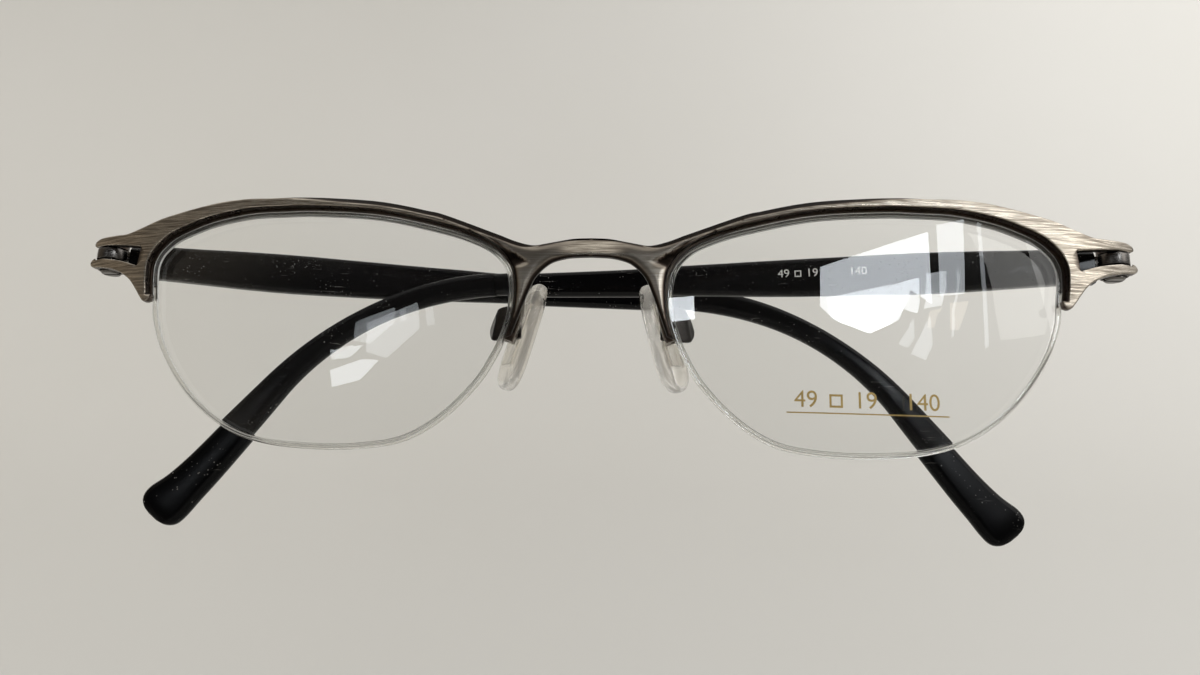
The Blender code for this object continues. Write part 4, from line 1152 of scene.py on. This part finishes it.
def make_tip(side, label, finish):
    hand = -side
    axis = temple_axis(side, FOLDS[label])
    end = TEMPLE_SECTIONS[-1][0] * MM
    bore = [end + CORE_LENGTH + TIP_WALL_END]
    bore += [end + CORE_LENGTH * i / CORE_STEPS for i in range(CORE_STEPS, 0, -1)]
    bore.append(TIP_SECTIONS[0][0] * MM)
    wide, tall = CORE_THICKNESS + 2 * SEAM, CORE_HEIGHT + 2 * SEAM
    rings = [temple_ring(axis, hand, place, tall, wide, CORE_CORNER) for place in bore]
    for s, h, t, lift in smooth(TIP_SECTIONS, TIP_STEP):
        rings.append(temple_ring(axis, hand, s * MM, h * MM, t * MM, TIP_CORNER, lift * MM))
    made = bake_down(skin(f"tip_moulded_{label}", rings), 35.0)
    made.data.materials.append(finish)
    return made


lacquer = black_gloss("black lacquer", gloss=0.2, roughness=0.08, speck_size=0.45 * MM)
tip_black = black_gloss("black moulded tip", gloss=0.1, roughness=0.14, speck_size=0.6 * MM)
for side, label in SIDES:
    temple = make_temple(side, label, lacquer)
    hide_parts(f"temple_{label}")
    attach(temple, f"temple_{label}_arm")
    tip = make_tip(side, label, tip_black)
    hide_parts(f"temple_tip_{label}")
    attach(tip, f"temple_{label}_arm")

# Size marks: lens width, bridge width and temple length in plain figures, with a small square
# between the first two. They are printed in pale ink inside the left temple, reading from its far
# end towards the hinge, and in gold on the left lens, as a shop's sample lens has them.
MARK_HEIGHT = 1.1 * MM
MARK_LIFT = 0.02 * MM
MARK_SINK = 0.1
CAP_SHARE = 0.7
SQUARE_SIDE = 0.8
SQUARE_LINE = 0.13
PALE_INK = (0.9, 0.9, 0.88)
GOLD_INK = (0.62, 0.44, 0.16)
DARKER = 0.55
INK_DEPTH = 0.005 * MM
# The text of each mark, which is empty for the square, and its place in millimetres
MARKS = (("49", 42.6), ("", 40.4), ("19", 38.9), ("140", 33.4))
GOLD_HEIGHT = 2.0 * MM
GOLD_PLACE = Vector((24.4, -9.6)) * MM
# The rule's left, low, length and height
GOLD_RULE = (-0.9 * MM, -0.75 * MM, 19.4 * MM, 0.16 * MM)
GOLD_MARKS = (("49", 0.0), ("", 4.2), ("19", 7.1), ("140", 13.2))


def ink(name, colour, metallic):
    made, tree, shader = surface(name, Metallic=metallic)
    thin = noise(tree, (2500, 2500, 2500), 3.0, 0.6)
    dark = tuple(DARKER * value for value in colour)
    coated(shader, blended(thin, (*dark, 1), (*colour, 1)), varied(thin, 0.36, 0.55))
    return made


def figures(name, body, height):
    """Plain figures as a thin flat mesh, from their lower left corner."""
    curve = bpy.data.curves.new(name, "FONT")
    curve.body = body
    curve.size = height / CAP_SHARE
    curve.extrude = INK_DEPTH
    text = in_scene(name, curve)
    graph = bpy.context.evaluated_depsgraph_get()
    mesh = bpy.data.meshes.new_from_object(text.evaluated_get(graph))
    bpy.data.objects.remove(text)
    return in_scene(name, mesh)


def rule(name, left, low, length, height):
    """A thin flat bar from its lower left corner, in short pieces so that it can bend."""
    cuts = round(length / MM)
    top = low + height
    corners = ((low, -INK_DEPTH), (low, INK_DEPTH), (top, INK_DEPTH), (top, -INK_DEPTH))
    places = [left + length * i / cuts for i in range(cuts + 1)]
    return skin(name, [[(x, y, z) for y, z in corners] for x in places])


def size_box(name, height):
    """The small open square between the lens width and the bridge width."""
    line, side = SQUARE_LINE * height, SQUARE_SIDE * height
    shape = bmesh.new()
    loops = []
    outer, inner = (0, side), (line, side - line)
    for (low, high), level in ((outer, -1), (outer, 1), (inner, 1), (inner, -1)):
        corners = ((low, low), (high, low), (high, high), (low, high))
        loops.append([shape.verts.new((x, y, level * INK_DEPTH)) for x, y in corners])
    for first, second in zip(loops, loops[1:] + loops[:1]):
        for k in range(4):
            shape.faces.new((first[k - 1], first[k], second[k], second[k - 1]))
    return mesh_object(name, shape)


def size_mark(kind, body, height):
    """One of the size marks: plain figures, or the small square."""
    name = f"{kind}_mark_{body or 'square'}"
    return figures(name, body, height) if body else size_box(name, height)


def printed(made, put, finish):
    """Lays a flat mark on its surface, where put turns (across, up, out) into a place, and inks it."""
    for vert in made.data.vertices:
        vert.co = put(vert.co.copy())
    made.data.materials.clear()
    made.data.materials.append(finish)
    return outwards(made)


def inner_face(along, rise):
    """The left temple's inner face at a distance from the hinge; +X runs back to the hinge."""
    centre, slope = temple_path(-1, along)
    for first, second in zip(TEMPLE_SECTIONS, TEMPLE_SECTIONS[1:]):
        if first[0] * MM <= along <= second[0] * MM:
            share = (along / MM - first[0]) / (second[0] - first[0])
            thickness = (first[2] + (second[2] - first[2]) * share) * MM
    right = Vector((-math.cos(slope), 0, math.sin(slope)))
    up = Vector((math.sin(slope), 0, math.cos(slope)))
    out = right.cross(up)
    local = Matrix((right, up, out)).transposed().to_4x4()
    local.translation = centre + up * rise + out * (thickness / 2 + MARK_LIFT)
    return temple_axis(1, FOLDS["left"]) @ local


def on_lens(point):
    x, z = GOLD_PLACE.x + point.x, GOLD_PLACE.y + point.y
    return placed(x, CHANNEL_FRONT - MARK_LIFT - point.z, z)


pale_ink = ink("pale printed ink", PALE_INK, 0.0)
gold_ink = ink("gold printed ink", GOLD_INK, 0.6)
for body, along in MARKS:
    flat = size_mark("size", body, MARK_HEIGHT)
    place = inner_face(along * MM, -MARK_SINK * MARK_HEIGHT)
    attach(printed(flat, lambda point: place @ point, pale_ink), "temple_left_arm")
for body, across in GOLD_MARKS:
    flat = size_mark("lens", body, GOLD_HEIGHT)
    flat.data.transform(Matrix.Translation((across * MM, 0, 0)))
    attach(printed(flat, on_lens, gold_ink), "front")
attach(printed(rule("lens_mark_rule", *GOLD_RULE), on_lens, gold_ink), "front")

# Nose pads: clear silicone moulded over a small plastic core, whose boss sits in a steel box at
# the end of a flat arm. The arm is soldered behind the rim, and a tiny screw lets the pad rock.
# The silicone is a little yellowed, with a trace of dirt; silicone and core are painted darker where
# seen edge on, as painted shade.
ARM_THICKNESS = 0.5 * MM
ARM_CORNER = 0.24 * MM
# The arm behind the rim, in millimetres: place across from the lens's edge, level, height
ARM_SECTIONS = [(-0.9, 0.0, 2.8), (0.1, 0.15, 3.7), (0.65, 0.4, 4.3)]
# The arm under the box: place along the box in millimetres, height as a share of the box's length
ARM_HEIGHTS = {-1.2: 1.75, -0.4: 1.5, 0.2: 1.05, 0.5: 0.6}
BOX_LENGTH = 2.4 * MM
BOX_WALL = 0.45 * MM
BOX_EASE = 0.16 * MM
PIVOT_DEPTH = 2.25 * MM
BOSS_RADIUS = 0.65 * MM
BOX_BED = PIVOT_DEPTH + BOSS_RADIUS + BOX_WALL + 2 * SEAM + ARM_THICKNESS / 2
PAD_LENGTH = 14.4 * MM
PAD_WIDTH = 7.0 * MM
PAD_THICKNESS = 2.3 * MM
PAD_INSET = 0.6 * MM
PAD_BACK = 4.4 * MM
PAD_RISE = -0.3 * MM
PAD_LEAN = math.radians(15.6)
PAD_SPLAY = math.radians(29.0)
PAD_CORE_LENGTH = 8.0 * MM
PAD_CORE_WIDTH = 3.4 * MM
PAD_CORE_THICKNESS = 0.6 * MM
PAD_SIDES = 28
PAD_STEP = 0.05
ARM_STEP = 0.3 * MM
# How the pad's section swells: powers of the cosine and the sine, and shares of its thickness
ACROSS_POWER = 0.75
NOSE_POWER = 0.9
BACK_POWER = 0.55
NOSE_SHARE = 0.65
BACK_SHARE = 0.35
PAD_SHIFT = -0.15
SILICONE_DEEP = (0.82, 0.78, 0.7, 1)
SILICONE_PALE = (0.93, 0.91, 0.86, 1)
SILICONE_EDGE_SHADE = (0.38, 0.35, 0.29, 1)
PAD_DIRT = (0.3, 0.25, 0.18, 1)
CORE_DEEP = (0.86, 0.84, 0.79, 1)
CORE_PALE = (0.95, 0.94, 0.91, 1)
CORE_EDGE_SHADE = (0.45, 0.42, 0.36, 1)
ARM_DEEP = (0.012, 0.011, 0.011, 1)
ARM_PALE = (0.07, 0.064, 0.06, 1)
# Along the pad, as shares of half its length: shares of half its width and of its thickness
PAD_SECTIONS = [
    (-1.0, 0.16, 0.25), (-0.985, 0.3, 0.45), (-0.94, 0.52, 0.7), (-0.8, 0.82, 0.92), (-0.55, 0.99, 1.0),
    (-0.2, 1.0, 1.0), (0.2, 0.95, 1.0), (0.55, 0.86, 1.0), (0.8, 0.72, 0.94), (0.94, 0.5, 0.74),
    (0.985, 0.29, 0.48), (1.0, 0.14, 0.25),
]


def pad_frame(side):
    """The pad's place: length up X, width towards the face on Y, thickness to the nose on Z."""
    length = Vector((-side * math.sin(PAD_LEAN), 0, math.cos(PAD_LEAN)))
    width = Vector((side * math.sin(PAD_SPLAY), math.cos(PAD_SPLAY), 0))
    width = (width - length * width.dot(length)).normalized()
    if side < 0:
        length = -length
    made = Matrix((length, width, length.cross(width))).transposed().to_4x4()
    x = side * (BRIDGE_WIDTH / 2 - PAD_INSET)
    made.translation = Vector((x, FACE_Y + CHANNEL_BACK + PAD_BACK, LENS_LEVEL + PAD_RISE))
    return made


def pad_ring(side, share, half_width, swell):
    """A smooth cross-section of the pad: nearly flat towards its arm, rounded towards the nose."""
    up = side * share * PAD_LENGTH / 2
    ring = []
    for i in range(PAD_SIDES):
        turn = 2 * math.pi * i / PAD_SIDES
        across, rise = math.cos(turn), math.sin(turn)
        across = math.copysign(abs(across) ** ACROSS_POWER, across)
        rise = math.copysign(abs(rise) ** (NOSE_POWER if rise > 0 else BACK_POWER), rise)
        level = PAD_SHIFT + (NOSE_SHARE if rise > 0 else BACK_SHARE) * rise
        ring.append(Vector((up, across * half_width, PAD_THICKNESS * level * swell)))
    return ring


def edge_shaded(colour, strength, dark):
    """A clear piece's colour, deeper where it is seen edge on: painted shade for the outline that
    refraction gives.
    """
    facing = node(colour.id_data, "ShaderNodeLayerWeight", Blend=0.5).outputs["Facing"]
    return blended(ranged(facing, 0.5, 0.95, 0.0, strength), colour, dark)


def silicone():
    """Clear silicone, a little yellowed, with small bubbles, a trace of dirt and painted shade at its
    outline.
    """
    made, tree, shader = surface("clear silicone", Transmission_Weight=0.96, IOR=1.38, Alpha=0.66)
    cloud = noise(tree, (200, 200, 200), 3.0, 0.5)
    bubbles = noise(tree, (1100, 1100, 1100), 3.0, 0.6)
    colour = blended(ranged(cloud, 0.35, 0.65), SILICONE_DEEP, SILICONE_PALE)
    dirt_and_shade = times(ranged(cloud, 0.5, 0.62), ranged(bubbles, 0.5, 0.62))
    colour = blended(times(dirt_and_shade, 0.75), colour, PAD_DIRT)
    coated(shader, edge_shaded(colour, 0.75, SILICONE_EDGE_SHADE), varied(cloud, 0.02, 0.07))
    bumped(shader, bubbles, 0.35, 0.05 * MM)
    return made


def core_plastic():
    made, tree, shader = surface("clear core plastic", Transmission_Weight=0.94, IOR=1.36, Alpha=0.7)
    cloud = noise(tree, (500, 500, 500), 3.0, 0.5)
    colour = blended(cloud, CORE_DEEP, CORE_PALE)
    # Painted shade where the core is seen edge on
    coated(shader, edge_shaded(colour, 0.6, CORE_EDGE_SHADE), varied(cloud, 0.02, 0.08))
    return made


def make_pad(side, label, finish):
    place = pad_frame(side)
    half = PAD_WIDTH / 2
    sections = smooth(PAD_SECTIONS, PAD_STEP)
    rings = [pad_ring(side, share, half * width, swell) for share, width, swell in sections]
    pad = skin(f"pad_moulded_{label}", [[place @ point for point in ring] for ring in rings])
    back = -PAD_THICKNESS / 2
    long, wide = PAD_CORE_LENGTH / 2 + SEAM, PAD_CORE_WIDTH / 2 + SEAM
    floor = back + PAD_CORE_THICKNESS + SEAM
    corners = [(-wide, 2 * back), (wide, 2 * back), (wide, floor), (-wide, floor)]
    ends = [[place @ Vector((x, y, z)) for y, z in corners] for x in (-long, long)]
    pocket = skin("pad_pocket", ends)
    boolean(pad, pocket, "DIFFERENCE")
    bake_down(pad, 40.0)
    pad.data.materials.append(finish)
    return pad


def make_arm(side, label):
    """The flat strip with rounded edges, from the rim's wire round to the bed of the pad's box."""
    bent = pad_frame(1)
    stations = []
    for out, middle, height in ARM_SECTIONS:
        x = BRIDGE_WIDTH / 2 + out * MM
        y = FACE_Y + sheet(x, 0) + CHANNEL_BACK + SEAM + ARM_THICKNESS / 2
        stations.append((x, y, LENS_LEVEL + middle * MM, height * MM))
    for along, height in ARM_HEIGHTS.items():
        x, y, z = bent @ Vector((0, along * MM, -BOX_BED))
        stations.append((x, y, z, BOX_LENGTH * height))
    places = smooth(stations, ARM_STEP)
    rings = []
    for i, (x, y, middle, height) in enumerate(places):
        after, before = places[min(i + 1, len(places) - 1)], places[max(i - 1, 0)]
        along = Vector((after[0] - before[0], after[1] - before[1])).normalized()
        ring = []
        for across, rise in rounded_section(height, ARM_THICKNESS, ARM_CORNER, 4):
            lean = -math.tan(PAD_LEAN) * rise * i / (len(places) - 1)
            out = side * (x - along.y * across + lean)
            ring.append(Vector((out, y + along.x * across, middle + rise)))
        rings.append(ring)
    return bake_down(skin(f"arm_soldered_{label}", rings), 40.0)


rubber = silicone()
core_finish = core_plastic()
arm_plating = plated("black plated arm", ARM_DEEP, ARM_PALE)
for side, label in SIDES:
    arm = make_arm(side, label)
    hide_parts(f"pad_arm_{label}")
    box = eased_copy(f"box_folded_{label}", f"pad_box_{label}", BOX_EASE)
    for piece in (arm, box):
        piece.data.materials.append(arm_plating)
        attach(piece, "front")
    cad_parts[f"pad_screw_{label}"].material_slots[0].material = steel
    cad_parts[f"pad_core_{label}"].material_slots[0].material = core_finish
    pad = make_pad(side, label, rubber)
    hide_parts(f"nose_pad_{label}")
    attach(pad, f"nose_pad_{label}_body")

# Camera: low in front of the glasses and tilted up, a little to the left lens's side. Its lens is
# wide and near, so the temples behind look smaller than the front.
FRAME_WIDTH = 1200
FRAME_HEIGHT = 675
EYE = Vector((8.0 * MM, FACE_Y - 103.99 * MM, LENS_LEVEL - 26.135 * MM))
EYE_RIGHT = Vector((0.99805, 0.05740, 0.02445))
EYE_UP = Vector((-0.01084, -0.22641, 0.97397))
EYE_BACK = EYE_RIGHT.cross(EYE_UP)
FOCAL_LENGTH = 27.0
FILM_WIDTH = 36.0

eye = bpy.data.cameras.new("eye")
eye.lens = FOCAL_LENGTH
eye.sensor_width = FILM_WIDTH
eye.sensor_fit = "HORIZONTAL"
eye.clip_start = MM
eye.clip_end = 20.0
camera = in_scene("eye", eye)
pose = Matrix((EYE_RIGHT, EYE_UP, EYE_BACK)).transposed().to_4x4()
pose.translation = EYE
camera.matrix_world = pose
bpy.context.scene.camera = camera
bpy.context.scene.view_settings.view_transform = "Standard"

# Studio: a pale floor that sweeps up into a pale wall well behind the glasses, brighter to the
# right, and a dim room with one soft window at the right. Small bright panes stand where the lenses
# mirror a window.
FLOOR_LEVEL = -0.26
FLOOR_START = -1.2
FLOOR_HALF = 2.2
WALL_Y = 0.62
WALL_TOP = 1.4
SWEEP_RADIUS = 0.3
SWEEP_STEPS = 12
DARK_SIDE = Vector((0.0, -0.98, 0.16))
DARK_REACH = Vector((1.0, 1.0, 0.5))
PANE_DISTANCE = 1.0
PAPER_DEEP = (0.77, 0.755, 0.71, 1)
PAPER_PALE = (0.83, 0.815, 0.785, 1)
FLOOR_SHADE = (0.73, 0.72, 0.69, 1)
ROOM_LEFT = (0.225, 0.19, 0.148, 1)
ROOM_RIGHT = (0.29, 0.282, 0.267, 1)
ROOM_TOP = (0.79, 0.775, 0.74, 1)
ROOM_DARK = (0.03, 0.028, 0.026, 1)
ROOM_SEEN = (0.6, 0.585, 0.55, 1)
SKY = (0.9, 0.95, 1.0, 1)
WARM_SKY = (1.0, 0.86, 0.7, 1)
# Each pane's glow, its colour and its corners, in pixels of the frame where the lens mirrors them;
# False stands at those that would show through the lens as well
PANES = {
    "upper_pane": (11.0, SKY, [
        (820, 267), (928, 232), (932, 304), (911, 290), (899, 320), (870, 333), (834, 320), (820, 306),
    ]),
    "narrow_pane": (7.0, SKY, [(936, 225), (963, 220), (965, 294), (940, 296)]),
    "lower_pane": (4.0, SKY, [(930, 315), (933, 344), (926, 360), (911, 354)]),
    "warm_pane": (3.0, WARM_SKY, [(950, 303), (969, 301), (959, 330), (950, 330)]),
    "pane_edge": (4.0, SKY, [(976, 222), (980, 221), (989, 346), (985, 349)]),
    "far_pane": (3.5, SKY, [(367, 323), (418, 302), (420, 328), (387, 358), (366, 352)]),
    "low_pane": (7.0, SKY, [(330, 370), (362, 359), (379, 360), (360, 380), (332, 387)]),
    "slim_pane": (2.5, SKY, [(425, 308), (433, 306), (435, 324), (427, 326)]),
    "nasal_pane": (17.0, SKY, [(670, 298), (694, 296), (695, 319), (671, 322)], False),
    "nasal_sun": (22.0, SKY, [(680, 307), (691, 306), (691, 318), (682, 319)], False),
}


def sweep():
    profile = [(FLOOR_START, FLOOR_LEVEL)]
    for i in range(SWEEP_STEPS + 1):
        turn = math.pi / 2 * i / SWEEP_STEPS
        y = WALL_Y - SWEEP_RADIUS + SWEEP_RADIUS * math.sin(turn)
        profile.append((y, FLOOR_LEVEL + SWEEP_RADIUS - SWEEP_RADIUS * math.cos(turn)))
    profile.append((WALL_Y, WALL_TOP))
    shape = bmesh.new()
    rows = [[shape.verts.new((x, y, z)) for x in (-FLOOR_HALF, FLOOR_HALF)] for y, z in profile]
    for first, second in zip(rows, rows[1:]):
        shape.faces.new((first[0], first[1], second[1], second[0]))
    made = mesh_object("sweep", shape)
    made.data.shade_smooth()
    finish, tree, shader = surface("pale paper", Roughness=0.9, Specular_IOR_Level=0.2)
    fibre = noise(tree, (3, 3, 3), 3.0, 0.5)
    place = node(tree, "ShaderNodeTexCoord").outputs["Object"]
    height = node(tree, "ShaderNodeSeparateXYZ", Vector=place).outputs["Z"]
    pale = blended(fibre, PAPER_DEEP, PAPER_PALE)
    # The paper is painted darker towards the floor: painted shade
    feed(shader.inputs["Base Color"], blended(ranged(height, -0.16, 0.1), FLOOR_SHADE, pale))
    made.data.materials.append(finish)
    return made


def area_lamp(name, place, facing, size, power, colour):
    lamp = bpy.data.lights.new(name, "AREA")
    lamp.shape = "RECTANGLE"
    lamp.size, lamp.size_y = size
    lamp.energy = power
    lamp.color = colour
    made = in_scene(name, lamp)
    made.location = place
    made.rotation_mode = "QUATERNION"
    made.rotation_quaternion = Vector(facing).to_track_quat("-Z", "Y")
    made.visible_camera = False


def window(name, azimuth, elevation, distance, size, power, colour):
    """A soft window light that faces the glasses; its azimuth is counted from -Y, in degrees."""
    azimuth, elevation = math.radians(azimuth), math.radians(elevation)
    level = math.cos(elevation)
    away = Vector((math.sin(azimuth) * level, -math.cos(azimuth) * level, math.sin(elevation)))
    area_lamp(name, Vector((0, 0, LENS_LEVEL)) + away * distance, -away, size, power, colour)


def mirrored(pixel):
    """The place in the room that the lens's front mirrors to the camera at a pixel of the frame."""
    across = (pixel[0] - FRAME_WIDTH / 2) / FRAME_WIDTH * FILM_WIDTH / FOCAL_LENGTH
    rise = (FRAME_HEIGHT / 2 - pixel[1]) / FRAME_WIDTH * FILM_WIDTH / FOCAL_LENGTH
    ray = (EYE_RIGHT * across + EYE_UP * rise - EYE_BACK).normalized()
    place = EYE
    for _ in range(6):
        off = placed(place.x, CHANNEL_FRONT, place.z - LENS_LEVEL).y - place.y
        place = place + ray * (off / ray.y)
    out = Vector((place.x / BASE_CURVE, -1, (place.z - LENS_LEVEL) / BASE_CURVE)).normalized()
    return place + (ray - 2 * ray.dot(out) * out) * PANE_DISTANCE


def pane(name, strength, colour, pixels, through_lens=True):
    """A glowing window pane that the lens mirrors; the camera never sees it."""
    shape = bmesh.new()
    shape.faces.new([shape.verts.new(mirrored(pixel)) for pixel in pixels])
    made = mesh_object(name, shape)
    finish, tree, shader = surface(name + " light", Emission_Strength=strength)
    feed(shader.inputs["Base Color"], (0, 0, 0, 1))
    feed(shader.inputs["Emission Color"], colour)
    if not through_lens:
        behind = node(tree, "ShaderNodeLightPath").outputs["Transmission Depth"]
        feed(shader.inputs["Emission Strength"], ranged(behind, 0.4, 0.6, strength, 0.0))
    made.data.materials.append(finish)
    made.visible_camera = False
    made.visible_diffuse = False
    made.visible_shadow = False


sweep()
for name, glow in PANES.items():
    pane(name, *glow)
window(
    "side_window", azimuth=58, elevation=24, distance=1.0,
    size=(0.45, 0.5), power=1.5, colour=(1.0, 0.99, 0.965),
)
area_lamp(
    "wall_lamp_right", place=(0.75, -0.05, 0.62), facing=(0, 0.95, -0.1),
    size=(1.1, 0.7), power=5.5, colour=(0.985, 0.99, 1.0),
)
area_lamp(
    "wall_lamp_left", place=(-0.75, 0.1, 0.3), facing=(0, 0.98, -0.1),
    size=(1.0, 0.8), power=1.75, colour=(1.0, 0.985, 0.955),
)


def soft_room():
    """A dim warm room, dark before the glasses, where their black temples look, and paler above."""
    world = bpy.data.worlds.new("soft room")
    bpy.context.scene.world = world
    world.use_nodes = True
    tree = world.node_tree
    towards = node(tree, "ShaderNodeTexCoord").outputs["Generated"]
    scale = Vector([1 / reach for reach in DARK_REACH])
    centre = Vector([-spot / reach for spot, reach in zip(DARK_SIDE, DARK_REACH)])
    near = node(tree, "ShaderNodeMapping", Vector=towards, Location=centre, Scale=scale)
    near = near.outputs["Vector"]
    patch = node(tree, "ShaderNodeTexGradient", {"gradient_type": "SPHERICAL"}, Vector=near)
    axes = node(tree, "ShaderNodeSeparateXYZ", Vector=towards).outputs
    side = blended(ranged(axes["X"], -0.8, 0.1), ROOM_LEFT, ROOM_RIGHT)
    pale = blended(ranged(axes["Z"], 0.46, 0.74), side, ROOM_TOP)
    colour = blended(ranged(patch.outputs["Fac"], 0.0, 0.3), pale, ROOM_DARK)
    path = node(tree, "ShaderNodeLightPath")
    straight = sums("LESS_THAN", path.outputs["Glossy Depth"], 0.5)
    seen_through = times(path.outputs["Is Transmission Ray"], straight)
    in_view = sums("MAXIMUM", path.outputs["Is Camera Ray"], seen_through)
    colour = blended(in_view, colour, ROOM_SEEN)
    feed(tree.nodes["Background"].inputs["Color"], colour)


soft_room()

bpy.context.view_layer.update()
